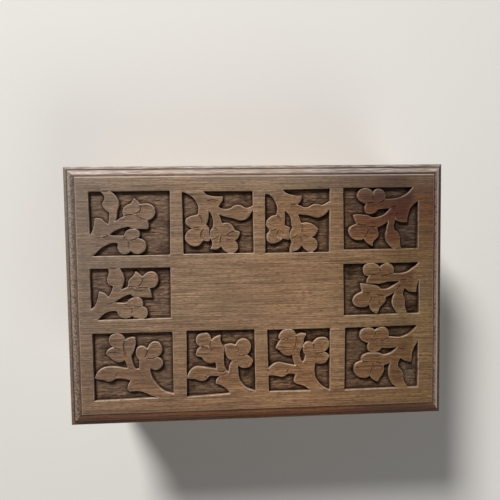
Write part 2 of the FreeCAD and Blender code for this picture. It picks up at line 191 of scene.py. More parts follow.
# Hinges: two butt hinges of rolled brass, let into the back wall and the lid, each on a drawn brass pin.
# The brass has dulled to a brown gold in clouds, and fine lines of the rolling run along it.
rolled_line, cloud_size = (16.667, 0.4, 0.4), 3.846
brass = bpy.data.materials.new("rolled brass, dulled")
brass.use_nodes = True
tree = brass.node_tree
shader = tree.nodes["Principled BSDF"]
place = add(tree, "ShaderNodeTexCoord")["Object"]
rolled = add(tree, "ShaderNodeMapping", {"Vector": place, "Scale": [1000 / s for s in rolled_line]})[0]
lines = add(tree, "ShaderNodeTexNoise", {"Vector": rolled, "Scale": 1.0, "Detail": 2.0})[0]
cloud = add(tree, "ShaderNodeTexNoise", {"Vector": place, "Scale": 1000 / cloud_size, "Detail": 4.0})[0]
dull = add(tree, "ShaderNodeMapRange", {0: cloud, 1: 0.38, 2: 0.68})[0]
skin = add(tree, "ShaderNodeMix", {0: dull, 6: linear("#A88A56"), 7: linear("#6E5636")}, data_type="RGBA")[2]
tree.links.new(skin, shader.inputs["Base Color"])
tree.links.new(add(tree, "ShaderNodeMapRange", {0: dull, 3: 0.36, 4: 0.58})[0], shader.inputs["Roughness"])
bump = add(tree, "ShaderNodeBump", {"Height": lines, "Strength": 0.2, "Distance": 0.00005})[0]
tree.links.new(bump, shader.inputs["Normal"])
shader.inputs["Metallic"].default_value = 1.0
for side in ("left", "right"):
    for part in ("body_leaf", "lid_leaf", "pin"):
        finish("hinge_" + side + "_" + part, brass)
    for part in ("body_leaf", "lid_leaf"):
        ease("hinge_" + side + "_" + part, 0.2)

# Hinge screws: countersunk brass wood screws, two through each leaf, their heads flush with it.
# Each is turned, then slotted for the driver, and the slots stand as the driver left them. Sizes are in m.
head_height, head_radius, shank_radius = 0.0016, 0.00247, 0.00137
saw_cut = (0.007, 0.0007, 0.0013)
# From the end of a pair to the middle of a screw, and how much wider the head's foot is than the shank.
end_to_middle, foot = 0.0025, 0.00002
for side, leaf, body, up, slots in (
    ("left", "body", "carcass", 1, (0.4, 1.3)),
    ("left", "lid", "lid", -1, (2.5, 0.2)),
    ("right", "body", "carcass", 1, (1.9, 2.8)),
    ("right", "lid", "lid", -1, (0.9, 1.6)),
):
    node = "hinge_" + side + "_" + leaf + "_screws"
    low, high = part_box(node)
    head = high.z if up > 0 else low.z
    shank = high.z - low.z - head_height / 2
    row = (low.y + high.y) / 2
    turned = 0.0 if up > 0 else math.pi
    screws = []
    for place, slot in zip((low.x + end_to_middle, high.x - end_to_middle), slots):
        bpy.ops.mesh.primitive_cylinder_add(vertices=32, radius=shank_radius, depth=shank,
                                            location=(place, row, head - up * (head_height + shank) / 2))
        shaft = bpy.context.object
        bpy.ops.mesh.primitive_cube_add(size=1, location=(place, row, head), rotation=(0, 0, slot),
                                        scale=saw_cut)
        saw = bpy.context.object
        bpy.ops.mesh.primitive_cone_add(vertices=32, depth=head_height, radius1=shank_radius + foot,
                                        radius2=head_radius, rotation=(turned, 0, 0),
                                        location=(place, row, head - up * head_height / 2))
        screw = bpy.context.object
        for tool, operation in ((shaft, "UNION"), (saw, "DIFFERENCE")):
            step = screw.modifiers.new("step", "BOOLEAN")
            step.object = tool
            step.operation = operation
            step.solver = "MANIFOLD"
            bpy.ops.object.modifier_apply(modifier="step")
            bpy.data.objects.remove(tool)
        screws.append(screw)
    bpy.ops.object.select_all(action="DESELECT")
    for screw in screws:
        screw.select_set(True)
    bpy.ops.object.join()
    bpy.ops.object.transform_apply(location=True, rotation=True, scale=True)
    bpy.ops.object.shade_smooth_by_angle(angle=math.radians(30))
    pair = bpy.context.object
    pair.name = "slotted_" + node
    pair.data.materials.clear()
    pair.data.materials.append(brass)
    pair.data.polygons.foreach_set("material_index", [0] * len(pair.data.polygons))
    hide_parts(node)
    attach(pair, body)

# Lid: one oak board, moulded on all four edges with a ledge, an ovolo and a fillet, and hung on the hinges.
# Ten panels are sunk in its face with gouge and chisel, each round a flowering sprig that is left standing.
# The ground is left rough from the tools, the edges are worn round, and dirt has gathered in the hollows.
_, lid_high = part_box("lid_board")
top, half_x, half_y = lid_high.z * 1000, lid_high.x * 1000, lid_high.y * 1000
# Edges of the flat face and the depth of the carving, in mm. The moulding is broader at the left and front.
face_left, face_right, face_front, face_back = -163.2, 165.0, -107.2, 109.0
ground_depth = 3.4

# Every panel: its corners from the back left round, then the runs of the sprig's edge, each from one sharp
# corner to the next, then the veins cut in the sprig. All are in mm on the face of the lid.
carving = {
    "front left": (
        [(-152.3, -32.3), (-79.4, -32.6), (-79.6, -93.6), (-152.2, -95.2)],
        [
            [(-93.5, -93.6), (-99, -91.8), (-104, -89.5), (-109, -87.4), (-114, -86.8)],
            [(-119.8, -87.2)],
            [(-121.9, -84.3), (-121, -81.3), (-119.6, -78.8)],
            [(-118.4, -76.8), (-124, -75.2), (-130, -74.5), (-133, -75), (-136, -76.8), (-139.5, -77.1),
             (-143, -75.5), (-147, -74.8)],
            [(-150.8, -73.8), (-149.5, -70.3), (-147, -67), (-143, -64.6), (-138, -63.7), (-132, -63.9),
             (-126, -65)],
            [(-121, -65.9), (-121.8, -62)],
            [(-123.5, -57.6), (-126.5, -59.3), (-130, -59.4), (-133.5, -57.6), (-137, -54.4)],
            [(-140.3, -51.7), (-139, -48.6), (-135.8, -46.5)],
            [(-133, -45.8), (-136.3, -42.7), (-137.3, -38.7), (-135.6, -34.9), (-131.5, -33), (-127, -33.5),
             (-123.9, -36.4)],
            [(-122.8, -39.3), (-119.5, -37.6), (-116.5, -37)],
            [(-113.9, -37.4), (-113.6, -42), (-114.6, -47), (-116.2, -51)],
            [(-118, -54), (-117.2, -58), (-115.8, -63)],
            [(-114, -66.8)],
            [(-110.8, -66.6), (-110.3, -62)],
            [(-110.3, -58), (-112.5, -54.5), (-113.3, -50.8), (-112, -47), (-108.5, -45.3),
             (-104.8, -46.5)],
            [(-102.8, -48.3), (-101.3, -45), (-98.5, -42.3), (-95.5, -41.6), (-92, -43), (-89.8, -46.5),
             (-89.8, -50.5), (-92, -54)],
            [(-94.8, -56), (-91.5, -57.2), (-89.2, -60.8), (-90, -64), (-93, -67), (-96.5, -67.6)],
            [(-101.3, -65.6), (-100.5, -70), (-98.5, -76), (-95.5, -81), (-91.5, -85.5), (-87, -88.6)],
            [(-79.5, -91)], [(-76, -92)], [(-76, -98)], [(-93.5, -98)],
        ],
        [
            [(-133, -45.8), (-129, -47.5), (-126, -50.5)],
            [(-122.8, -39.3), (-124.2, -44), (-123.6, -50), (-121.8, -56)],
            [(-140, -51.6), (-133, -50.6), (-127.5, -52)],
            [(-102.8, -48.3), (-103.2, -52), (-105.5, -56)],
            [(-94.8, -56), (-99, -57.2), (-104, -57)],
            [(-131.5, -74.8), (-131.6, -72), (-130.6, -69.6)],
            [(-114, -66.8), (-110.5, -70.5), (-106.6, -74.6)],
        ],
    ),
    "front inner left": (
        [(-67, -31.8), (-4, -32.3), (-3.6, -91.2), (-68, -94.4)],
        [
            [(-27.5, -92.2), (-29, -89.6), (-31.3, -87.2), (-34.4, -84.9), (-37.5, -83.4)],
            [(-40.6, -82.3), (-40.2, -80), (-38.9, -77.6)],
            [(-36.5, -75.6), (-42, -75), (-46, -75), (-48, -76.6), (-50, -78.5), (-52.5, -79.4), (-56, -79),
             (-59, -77.6), (-62, -77)],
            [(-66.4, -76.6)],
            [(-66.9, -74.6), (-65, -71), (-62.5, -68), (-58.5, -66), (-54, -66.2), (-49, -67.2),
             (-44, -68.2)],
            [(-39.4, -69.1), (-40.1, -66)],
            [(-40.6, -61.8), (-42.8, -62.7), (-46.7, -63), (-50.5, -61), (-53.3, -57.4), (-57, -56.2)],
            [(-58.7, -55.1), (-57.8, -51.4), (-56, -48.9)],
            [(-54, -47.6), (-57, -45), (-58.3, -41.5), (-57.3, -38), (-54.8, -35.8), (-51, -35), (-48, -35),
             (-46, -36.8), (-44.8, -39.5)],
            [(-44.2, -42), (-42, -39.8), (-39, -38.2)],
            [(-35.7, -37.2), (-36, -41), (-34.9, -45)],
            [(-33.3, -47.6), (-32.6, -51), (-32.9, -55), (-33.2, -60), (-32.8, -65), (-31.4, -69.2)],
            [(-28.9, -72.8), (-28.3, -70), (-27.6, -66), (-26, -62.9)],
            [(-23.9, -61.7), (-26.5, -60.8), (-29.5, -58.3), (-31, -54.5), (-31.5, -50)],
            [(-32.4, -46.7), (-29.5, -46.1), (-26.5, -45.6), (-23.5, -46.3)],
            [(-21.8, -47.1), (-20.3, -44), (-18, -42), (-14.5, -41.2), (-11, -42.2), (-8.5, -45),
             (-7.7, -48.5), (-8.7, -52), (-10.5, -54.8)],
            [(-12.3, -56.5), (-9.5, -57.8)],
            [(-5.9, -61.6), (-7, -64.5), (-9.5, -67.5), (-13.5, -68.5), (-17.5, -67.5)],
            [(-20.2, -65.6), (-19.9, -72), (-19, -78), (-17, -82.5), (-13.6, -86.4), (-9, -89)],
            [(-4, -90.7)], [(0, -92)], [(0, -98)], [(-27.5, -98)],
        ],
        [
            [(-54, -47.6), (-49, -48.4), (-46, -51)],
            [(-44.2, -42), (-45.4, -45), (-44.6, -49.5), (-42.4, -53)],
            [(-58.4, -55), (-52, -54.4), (-47, -54.6)],
            [(-21.8, -47.1), (-20.6, -49.4), (-18.6, -51.2), (-20.5, -54)],
            [(-12.3, -56.5), (-16, -57.4), (-20, -56.6)],
            [(-48.4, -77), (-50.2, -76.4), (-47.6, -74.4)],
            [(-31.4, -69.4), (-33.8, -71.4), (-38, -71.6)],
            [(-28.9, -72.8), (-33, -74.4), (-36.4, -75.4)],
        ],
    ),
    "front inner right": (
        [(7.4, -33), (67, -33), (66.2, -92.4), (8.6, -91.8)],
        [
            [(47.6, -91.9), (46, -90.3), (42.9, -87.9), (39, -86), (35.2, -85)],
            [(32.4, -83.4), (32.5, -81.5), (33.3, -79)],
            [(34.3, -76.2), (29, -75), (25.3, -75.8), (23.7, -77.3), (20.6, -78), (17.5, -77.2),
             (13.7, -76.3)],
            [(8.6, -75.9)], [(5, -75.6)], [(5, -69.6)],
            [(8.8, -69.6), (10.2, -68.3), (12.9, -66.2), (16, -64.8), (19.8, -64.7), (24.5, -65.8),
             (29.8, -67.1)],
            [(34.4, -68), (33, -65.6), (31.9, -62.5), (31.4, -59.5)],
            [(31, -57.3), (27.5, -58.3), (23.7, -57.3), (21, -55.2), (18.7, -52.6)],
            [(15.6, -50.7), (17.2, -47.5), (18.7, -45.2)],
            [(20.4, -43), (18.5, -41.6), (18.7, -39.5), (20.6, -36), (23.2, -33.8), (27.5, -33.4),
             (31.4, -33.9), (33.7, -36.4)],
            [(34.8, -39.5), (36.8, -38.4), (39.8, -37.5)],
            [(44.4, -38.4), (42.6, -41), (41.8, -44), (41.2, -48), (40, -51)],
            [(38.3, -54.3), (37.9, -57.2), (38.7, -61)],
            [(40.2, -64.9), (41.5, -64.3), (42.7, -62)],
            [(43.6, -58), (41.9, -55.6), (41.2, -52), (41.8, -48.7), (43.7, -46.4), (46.4, -45.6),
             (49.1, -46.4)],
            [(50.3, -47.3), (52.2, -44.8), (55.2, -42.6), (59.8, -41.9), (63.6, -42.9), (65.3, -45.6),
             (65.6, -48.4), (64.8, -51.4), (62.9, -53.7)],
            [(60.5, -55.9), (63.7, -56.9)],
            [(66.2, -59.7), (64.5, -62), (62.5, -64.8), (59.8, -66.5), (56, -66.5)],
            [(52.7, -65.6), (51.7, -71), (52.2, -77.2), (53.7, -81.8), (56.8, -86), (60.4, -89.3)],
            [(66.2, -92.3)], [(70, -94)], [(70, -97)], [(47.6, -97)],
        ],
        [
            [(20.4, -43), (23, -42.8), (25.6, -41.6), (28, -44)],
            [(34.8, -39.5), (35, -44), (34, -49), (33.6, -54)],
            [(15.8, -50.6), (22, -50), (28, -51)],
            [(50.3, -47.3), (51.6, -50), (51, -54)],
            [(60.5, -55.9), (57, -56.6), (52, -57)],
            [(25.4, -75.8), (26, -73), (28.6, -71)],
            [(34.5, -68.2), (36.5, -70.4), (40.4, -72)],
            [(8.4, -69.8), (8.4, -72.6), (8.5, -75.6)],
        ],
    ),
    "front right": (
        [(80.8, -33), (151.4, -32.2), (151.2, -92), (80, -92.6)],
        [
            [(131.6, -92.4), (129.1, -90.5), (126, -87.5), (123.7, -82.8), (122.9, -79), (122.9, -75.2),
             (123.6, -70.5)],
            [(124.6, -67), (122.6, -68.3), (120.4, -69.2)],
            [(117.5, -69.5), (118.3, -73.6), (117.5, -76.7), (116, -79.8), (113.7, -82.5)],
            [(112.2, -85.6), (110.4, -85), (107.5, -83.2), (105.8, -81.3)],
            [(104.8, -79.2), (102.5, -80.9), (99.1, -81.5), (94.8, -80.7), (91.8, -78.6), (89.8, -75.2),
             (89.7, -70.9), (91.4, -67.8), (94.5, -66.3)],
            [(97, -65.6), (96.6, -62.8), (98.3, -60.2), (101.4, -58.7), (105.2, -58.1), (109.8, -58),
             (114.5, -58.7)],
            [(117, -60.3), (121.4, -59.8), (126, -58), (129, -55.5)],
            [(131.5, -53), (125.2, -53.5), (119, -53.5)],
            [(115.6, -53), (114.8, -54.8), (112.9, -56.2), (109.1, -56.9), (104.8, -56.6), (102.9, -54.4),
             (102.7, -51.3)],
            [(103.4, -48.2), (99.8, -47.1), (96.4, -44.4), (95.1, -41.3), (95.8, -37.5), (98.3, -34.9),
             (102.2, -33.8), (106, -34.2), (108.4, -35.5)],
            [(109.6, -36.7), (111.4, -35.3), (113.7, -34), (116.8, -33.5), (119.8, -34.4), (122.2, -37.1),
             (122.8, -39.8)],
            [(122.4, -42.9), (128.3, -43.6), (132.9, -43.9), (137.5, -42.9), (142.2, -40.8), (146, -37.8),
             (149, -34.2)],
            [(150, -32.2)], [(151, -29)], [(155, -29)], [(155, -44.5)],
            [(151.8, -45.9), (149.8, -49), (147.2, -53.6), (145.6, -57.5), (144.8, -62.8)],
            [(144.4, -67.6), (141.4, -67.1), (138.3, -66), (136, -64.8)],
            [(133.7, -63), (132.5, -66.7), (131.6, -70.5)],
            [(131.9, -72.6), (134.5, -74.8), (136.4, -78.2), (136.9, -81.3), (137.3, -85.2),
             (139.1, -88.5)],
            [(141, -92)], [(141, -96)], [(131.6, -96)],
        ],
        [
            [(109.6, -36.7), (110.2, -40), (108, -44)],
            [(103.4, -48.2), (106.5, -46.8), (110, -47.2)],
            [(122.4, -43), (119.4, -45.6), (115, -47)],
            [(97, -65.6), (100.5, -66), (104.6, -66.8)],
            [(104.8, -79.2), (105.6, -75.5), (107.4, -71), (107.4, -67.6)],
            [(117.5, -69.5), (113.5, -67.5), (109, -66.6)],
            [(131.5, -53), (134.5, -54.4), (138, -55)],
        ],
    ),
    "back left": (
        [(-152, 96.3), (-79, 96.5), (-80, 37.9), (-151.6, 37.8)],
        [
            [(-151.8, 56.4), (-149.7, 59.2), (-148.1, 63.1), (-147, 67.7)],
            [(-146.6, 72), (-144, 71.9), (-141.2, 71.4), (-139.3, 69.6), (-137, 67.7)],
            [(-134.8, 66.4), (-133.9, 70), (-133.5, 73.8)],
            [(-133.3, 76.9), (-136.2, 79.2), (-138.5, 81.9), (-139.6, 85), (-137.8, 88.5), (-137.4, 91.5)],
            [(-140.4, 96)], [(-140.4, 100)], [(-132, 100)],
            [(-132, 96), (-128.9, 93.2), (-126.6, 90), (-125.2, 86.9), (-125, 84.2), (-125.8, 81.2)],
            [(-127, 78.6), (-127.2, 76.2), (-127.7, 72.3)],
            [(-129.4, 68.7), (-126.6, 70.4), (-123.5, 72.2)],
            [(-120.5, 73.2), (-121.3, 75.4), (-121.6, 78.5), (-120.4, 81.5), (-117.7, 83.7), (-114.3, 85),
             (-112.7, 87.3)],
            [(-111.3, 89.6), (-109.7, 88.1), (-107.7, 86.2)],
            [(-106.4, 84.1), (-104.3, 84.6), (-100, 84.9), (-96.2, 83.5), (-93.5, 80.8), (-92.9, 77.3),
             (-93.9, 74.2), (-96.2, 71.5), (-98.5, 70.4)],
            [(-100.2, 70.2), (-99.3, 67.7), (-99, 65)],
            [(-100, 62.2), (-102.7, 62.2), (-106.6, 62.5), (-111.2, 62.5), (-114.6, 63.2)],
            [(-117.3, 64.6), (-120.4, 63.8), (-124.3, 63.1), (-128.1, 61.5), (-131.2, 59.8)],
            [(-134.6, 57.4), (-132.8, 56.6), (-128.9, 56.1), (-124.3, 56)],
            [(-121.1, 56), (-119.9, 59.2), (-117.3, 61.3), (-113.4, 62), (-109.4, 61.3), (-107.3, 59.2),
             (-107.3, 56.2)],
            [(-108.9, 53.4), (-105.8, 52.7), (-102.7, 50.4), (-101.8, 46.9), (-102.7, 43.5), (-105.4, 40.8),
             (-109.7, 39.5), (-113.1, 40.4)],
            [(-115.5, 43), (-117.3, 40.9), (-120.4, 39.4), (-123.5, 40), (-125.8, 42.3), (-127.2, 45.4)],
            [(-126.5, 49.6), (-129.7, 49.9), (-133.5, 49.6), (-138.1, 47.7), (-142.7, 45), (-146.6, 41.5)],
            [(-149.8, 37.9)], [(-149.8, 34)], [(-156, 34)], [(-156, 56)],
        ],
        [
            [(-106.4, 84.1), (-105.2, 80.4), (-107.6, 77), (-111, 75.6)],
            [(-100.2, 70.2), (-105, 71.2), (-109, 73.4)],
            [(-120.5, 73.2), (-116.5, 75.2), (-112.6, 74.4)],
            [(-104.4, 82.3), (-101, 82.6), (-98.6, 81.8)],
            [(-108.9, 53.4), (-112.6, 52.4), (-116, 51.6)],
            [(-115.5, 43), (-117, 47), (-117.4, 51)],
            [(-121.1, 56), (-120.4, 53), (-118, 51.6)],
            [(-134.6, 57.4), (-137, 55.4), (-140.6, 54.4)],
            [(-140.2, 96.1), (-136.2, 96.2), (-132.2, 96.1)],
        ],
    ),
    "back inner left": (
        [(-68.6, 95.8), (-4, 95.4), (-3.7, 38.3), (-68.2, 38.4)],
        [
            [(-68.6, 95.6), (-65.2, 94.3), (-61.3, 92.3), (-57.8, 89.2), (-55.2, 85.4), (-53.7, 81.5),
             (-53.7, 77.5)],
            [(-54.2, 74.2), (-56.7, 73.6), (-60.5, 72.8), (-64, 71.2), (-65.6, 69.2), (-65.2, 66.2),
             (-62.8, 63.7)],
            [(-59.4, 61.4), (-62.1, 60.4), (-64.8, 57.7), (-66.3, 53.8), (-65.2, 50), (-62.1, 46.9),
             (-57.5, 45.6), (-53.6, 46.9), (-51.3, 49.2)],
            [(-50.2, 51), (-47.5, 50.2), (-44.9, 50.2)],
            [(-43.8, 52), (-44.3, 56), (-44.4, 59)],
            [(-44.4, 61.2), (-45.6, 63.3)],
            [(-47.2, 65.2), (-45.4, 70), (-44.8, 74.6)],
            [(-44.9, 78.3), (-42.6, 75.4), (-40.9, 71.5), (-40.4, 66.9), (-40.7, 63.6)],
            [(-41, 61.7), (-42.8, 60), (-43.5, 56.9), (-43.3, 53.8)],
            [(-42.3, 50.9), (-41.5, 48.5), (-41.9, 45.4)],
            [(-43.4, 42.8), (-39, 42.6), (-35.9, 43.5)],
            [(-33.6, 45.6), (-32.8, 43.8), (-30.9, 41.2), (-27.5, 39.3), (-22.8, 39.1), (-19.4, 41.2),
             (-18.4, 44.6), (-19.4, 48.1)],
            [(-21.5, 50.4), (-19, 51.9), (-17.3, 54.6)],
            [(-16.5, 57.8), (-18.2, 58.5)],
            [(-20.6, 59), (-22.8, 63.1), (-25.9, 65.8), (-29.8, 66.3)],
            [(-32.1, 65.4), (-32.8, 66.9), (-34.4, 71.5)],
            [(-36.4, 75.3), (-34.4, 74.2), (-31.3, 73), (-27.5, 71.9), (-22.8, 70.8), (-19, 69.6),
             (-15.2, 68.8), (-11.3, 69.6), (-8.2, 71.9), (-5.9, 75.4)],
            [(-3.9, 78.6)], [(0, 79)], [(0, 82)],
            [(-3.9, 81.6), (-6.7, 80.5), (-9.8, 79.6), (-12.8, 80.8), (-15.5, 82.3), (-19, 82.4),
             (-22.1, 81.2), (-24.4, 79.6), (-29, 78.8), (-33.6, 79.7)],
            [(-36, 81.4), (-33.6, 84.6), (-31.9, 87.3)],
            [(-31.5, 90.2), (-36.7, 90.2), (-41.3, 90.8), (-45.9, 92)],
            [(-49.4, 95.4)], [(-50, 100)], [(-72, 100)], [(-72, 96)],
        ],
        [
            [(-59.4, 61.4), (-56, 62.6), (-52.4, 62.4)],
            [(-50.2, 51), (-51.6, 54), (-51.6, 57.6), (-49, 61)],
            [(-54.2, 74.2), (-51.4, 71), (-50, 66)],
            [(-33.6, 45.6), (-34.4, 49.6), (-33.4, 54)],
            [(-21.5, 50.4), (-25.4, 50.6), (-29.6, 52)],
            [(-20.6, 59), (-25, 57.4), (-29, 54.6)],
            [(-42.3, 50.9), (-39, 52), (-35.8, 54.4)],
            [(-41.2, 61.6), (-38.6, 61.4), (-36, 58.6)],
            [(-36.6, 86.6), (-41, 87.4), (-46, 86.6)],
        ],
    ),
    "back inner right": (
        [(6.9, 96.2), (67.2, 97), (66.6, 38), (6.6, 38)],
        [
            [(6.9, 92.8), (10.6, 92.3), (13.7, 89.6), (16, 86.2), (17.9, 82.3), (18.6, 78.5), (18, 75.4)],
            [(17.4, 72.6), (14.5, 72.3), (11.4, 70.8), (8.7, 67.7), (7.9, 64.6), (9.1, 61.9)],
            [(11.2, 59.4), (10.4, 57.2)],
            [(8.6, 55.9), (8.3, 53.1), (8.9, 49.8), (11.4, 47.4), (15.2, 47.2), (19.1, 48.7)],
            [(22.4, 50.6), (20, 51.9)],
            [(17.4, 53.2), (21.4, 51.7), (26, 50.9)],
            [(29, 50.4), (28.8, 54), (28.9, 58)],
            [(30, 61), (27.5, 62.2)],
            [(24.8, 63.2), (25.1, 69.2), (25.2, 73.8)],
            [(24.7, 78), (27.9, 74.6), (30.6, 70.8), (31.4, 66.9), (31.6, 63.4)],
            [(32.6, 60.4), (30.4, 58), (29.6, 54.5)],
            [(30, 51), (31.5, 48.4), (31, 46.2), (29.9, 42.3)],
            [(29.6, 38.6), (32.9, 39.6), (36, 40.4), (38.7, 42.7)],
            [(40.6, 45.3), (41.8, 43.5), (43.7, 41.2), (46.8, 39.1), (50.6, 38.9), (54.1, 41.5), (55.2, 45),
             (54.5, 48.5), (52.2, 51.1)],
            [(48.4, 51.8), (50.2, 52.4), (52.9, 54.2), (54.8, 56.9)],
            [(55.7, 60.2), (53.7, 62), (50.6, 64.2), (46.8, 65.5), (42.9, 65.5)],
            [(40.6, 64.9), (39.5, 66.9), (38.3, 70.8)],
            [(37.1, 74.4), (39.8, 73.5), (43.7, 73.1), (47.5, 72.7), (51.4, 71.4), (55.2, 70.4),
             (59.1, 71.3), (62.2, 73.1), (64.6, 75.4)],
            [(66.6, 78)], [(70, 78)], [(70, 84)],
            [(66.2, 84.4), (64.6, 83.6), (62.2, 82.2), (59.1, 81.5), (56, 82.5), (52.9, 82.5), (49.8, 81.2),
             (46.8, 79.6), (42.9, 79.6), (39.8, 81.1)],
            [(36.6, 82), (39.1, 84.6), (40.6, 87.3)],
            [(41.1, 90.5), (37.5, 90), (33.7, 90.6), (29.1, 91.9), (25.2, 93.8)],
            [(22.6, 96.8)], [(22, 100)], [(3, 100)], [(3, 93)],
        ],
        [
            [(11.2, 59.4), (14, 58.8), (18, 60)],
            [(17.4, 72.6), (20.4, 70.6), (21.6, 66)],
            [(17.4, 53.2), (18.4, 57), (20.6, 60)],
            [(40.6, 45.3), (40.4, 50), (39.6, 54)],
            [(48.4, 51.8), (45, 52.6), (42, 54.4)],
            [(40.6, 64.9), (41.4, 60), (40.6, 56)],
            [(30.2, 51), (33.4, 51.6), (37, 54.4)],
            [(36.6, 82), (33, 82.4), (30.6, 81.8)],
        ],
    ),
    "back right": (
        [(79.3, 97.7), (150.8, 97.6), (150.4, 40), (79.8, 39.8)],
        [
            [(128.5, 39.8), (125.2, 41.8), (121.4, 45.6), (119.8, 49.8), (119.5, 53.3), (120.6, 57.9),
             (121.5, 62.5)],
            [(122.4, 66.2), (119, 64.1), (115.2, 61.8)],
            [(111, 60.2), (111.8, 58.3), (112.8, 55.2), (112.2, 51.8), (109.5, 49.1), (107.3, 46.4)],
            [(106.9, 43.3), (105.4, 44.1), (102.9, 45.6), (100.6, 47.9)],
            [(99.1, 50.4), (96.8, 49.2), (92.2, 49.1), (88.3, 50.6), (85.6, 53.7), (84.5, 57.2),
             (85.6, 60.2), (89.1, 62.5)],
            [(92.6, 63.9), (91, 66.4), (90.2, 68.7)],
            [(89.1, 72), (93.7, 72.5), (98.3, 72), (102.6, 71.6)],
            [(106, 69.8), (109.8, 69.3), (115.2, 70.6), (119, 72.5), (122.2, 75.6)],
            [(124.2, 78), (117.5, 77.9)],
            [(112.4, 77.4), (111.4, 76.4), (109.8, 74.5), (107.5, 73.3), (103.7, 73.2), (100.8, 74.1),
             (100.1, 76.4), (100.1, 79.5)],
            [(101.5, 82.3), (98.3, 83.5), (95.2, 85.2), (92.9, 88.3), (92.9, 91), (94.8, 94.5),
             (98.3, 96.4), (102.2, 96.4), (105.6, 94.8), (107.1, 92.8)],
            [(107.6, 91), (108.7, 94), (110.4, 95.6), (113.7, 95.9), (116.8, 94.5), (118.7, 91.8),
             (119.5, 89.5)],
            [(118.9, 86.5), (125.2, 86.5), (129.8, 87), (134.5, 88.3), (139.1, 90.6), (142.2, 93.3),
             (144.6, 96.4)],
            [(145.4, 97.8)], [(147, 101)], [(155, 101)], [(155, 86)],
            [(150.6, 84.6), (146, 81.7), (142.9, 77.9), (141.3, 74.1), (140.1, 68.7)],
            [(139.9, 65), (136.8, 65.1), (132.9, 65.6), (129.9, 66.8)],
            [(128.6, 68.6), (127.7, 64.1), (127.3, 60.2)],
            [(127.8, 57.2), (130.2, 56.3), (131.8, 54.1), (133.2, 50.2), (133.2, 45.6), (133.7, 41.8)],
            [(134.6, 39.8)], [(134.6, 36)], [(128.5, 36)],
        ],
        [
            [(107.6, 91), (107.2, 88), (108.6, 84.6)],
            [(101.5, 82.3), (105, 83.2), (109, 83.4)],
            [(118.9, 86.5), (116.4, 84.2), (112.6, 82.6)],
            [(92.6, 63.9), (97, 62.6), (102, 62.4)],
            [(99.1, 50.4), (101.4, 54), (103.6, 58)],
            [(111, 60.2), (108, 61), (104.6, 60.6)],
            [(124.2, 78), (126.4, 79.2), (130, 80)],
            [(128.6, 68.6), (129.6, 72), (132, 75)],
        ],
    ),
    "middle left": (
        [(-152.8, 26.9), (-80, 27), (-80.6, -20.2), (-152.6, -20.6)],
        [
            [(-152.7, -10.6), (-150.8, -9.2), (-148.5, -6.9), (-146.6, -2.3), (-145.4, 1.5)],
            [(-145, 5.7), (-142.6, 5), (-140, 3.8), (-138.5, 2.3)],
            [(-136.6, 0.2), (-134.3, 4.2), (-132.7, 7.7)],
            [(-132, 10.9), (-134.2, 11.3), (-136.2, 12.7), (-137.2, 15.4), (-136.6, 19.2), (-135.4, 23.1)],
            [(-136, 26.6)], [(-136, 30)], [(-126, 30)],
            [(-126, 26.6), (-124.3, 23.7), (-122.8, 20.8), (-122.3, 16.2), (-123.1, 12.3), (-124.3, 9.6)],
            [(-125.2, 6.8), (-122, 8.1)],
            [(-119.4, 8.9), (-118.6, 11.2), (-118.5, 13.8), (-117, 16.5), (-114.3, 18.8), (-112.8, 20.8)],
            [(-111.8, 23.4), (-109.7, 21.9), (-107.7, 20)],
            [(-105.8, 18.4), (-103.5, 20.4), (-100.4, 22.5), (-95.8, 22.7), (-92.7, 20), (-91.6, 16.2),
             (-92.7, 12.3), (-95, 9.2), (-98.1, 8.3)],
            [(-100.2, 8.1), (-98.9, 6.2), (-98.2, 3.1)],
            [(-97.6, -0.5), (-101.2, -0.4), (-105.8, 0.1), (-110.4, 0), (-114.2, 0.6)],
            [(-116.3, 2.8), (-119.7, 2.4), (-123.5, 0.8), (-127.3, -1.2), (-130, -3.1)],
            [(-131.8, -4.4), (-127.3, -5)],
            [(-122.4, -5.4), (-120.2, -4.8), (-118.5, -2.8), (-115, -0.9), (-111.2, -0.3), (-108.7, -1),
             (-106.6, -3.1), (-105.8, -6.2)],
            [(-106.3, -8.6), (-104.3, -9.6), (-102.3, -11.9), (-102, -15.4), (-103.1, -18.1),
             (-105.8, -19.7), (-110.4, -19.5), (-113.9, -18.5)],
            [(-115.9, -16), (-117, -18), (-120.4, -19.1), (-124.3, -18.5), (-127, -16.9), (-128.5, -14.2)],
            [(-129.5, -12.1), (-132.7, -11.9), (-137.3, -12.7), (-141.2, -14.6), (-143.9, -16.9)],
            [(-146.8, -20.2)], [(-146.8, -24)], [(-157, -24)], [(-157, -11)],
        ],
        [
            [(-105.8, 18.4), (-105.6, 14.6), (-107.6, 11.4), (-110.6, 9.6)],
            [(-100.2, 8.1), (-105, 8.6), (-109, 8.4)],
            [(-119.4, 8.9), (-115.6, 9.8), (-112, 9)],
            [(-115, 7), (-110.4, 5.4), (-105, 5.6)],
            [(-106.3, -8.6), (-110, -9.2), (-114, -9)],
            [(-115.9, -16), (-115.4, -12.4), (-116.4, -9.4)],
            [(-122.4, -5.4), (-120.4, -7.6), (-117, -9)],
            [(-131.8, -4.4), (-134.6, -5.6), (-138.6, -6)],
            [(-135.8, 26.7), (-131, 26.8), (-126.2, 26.7)],
        ],
    ),
    "middle right": (
        [(79.2, 27), (151.8, 27.4), (152, -21.3), (79.8, -22)],
        [
            [(131.6, -21.2), (129.1, -18.1), (127.2, -14.6), (126, -10.8), (126.4, -7.7), (127.5, -3.8)],
            [(128.9, -0.2), (126, -1.9), (122.9, -3.8)],
            [(119.6, -5), (119.7, -7.2), (119, -9.4), (116.8, -11.9), (114.2, -14)],
            [(113.6, -15), (112.8, -17.7)],
            [(111.3, -20.8), (109.1, -19.6), (106.4, -17.7), (104.9, -14.8)],
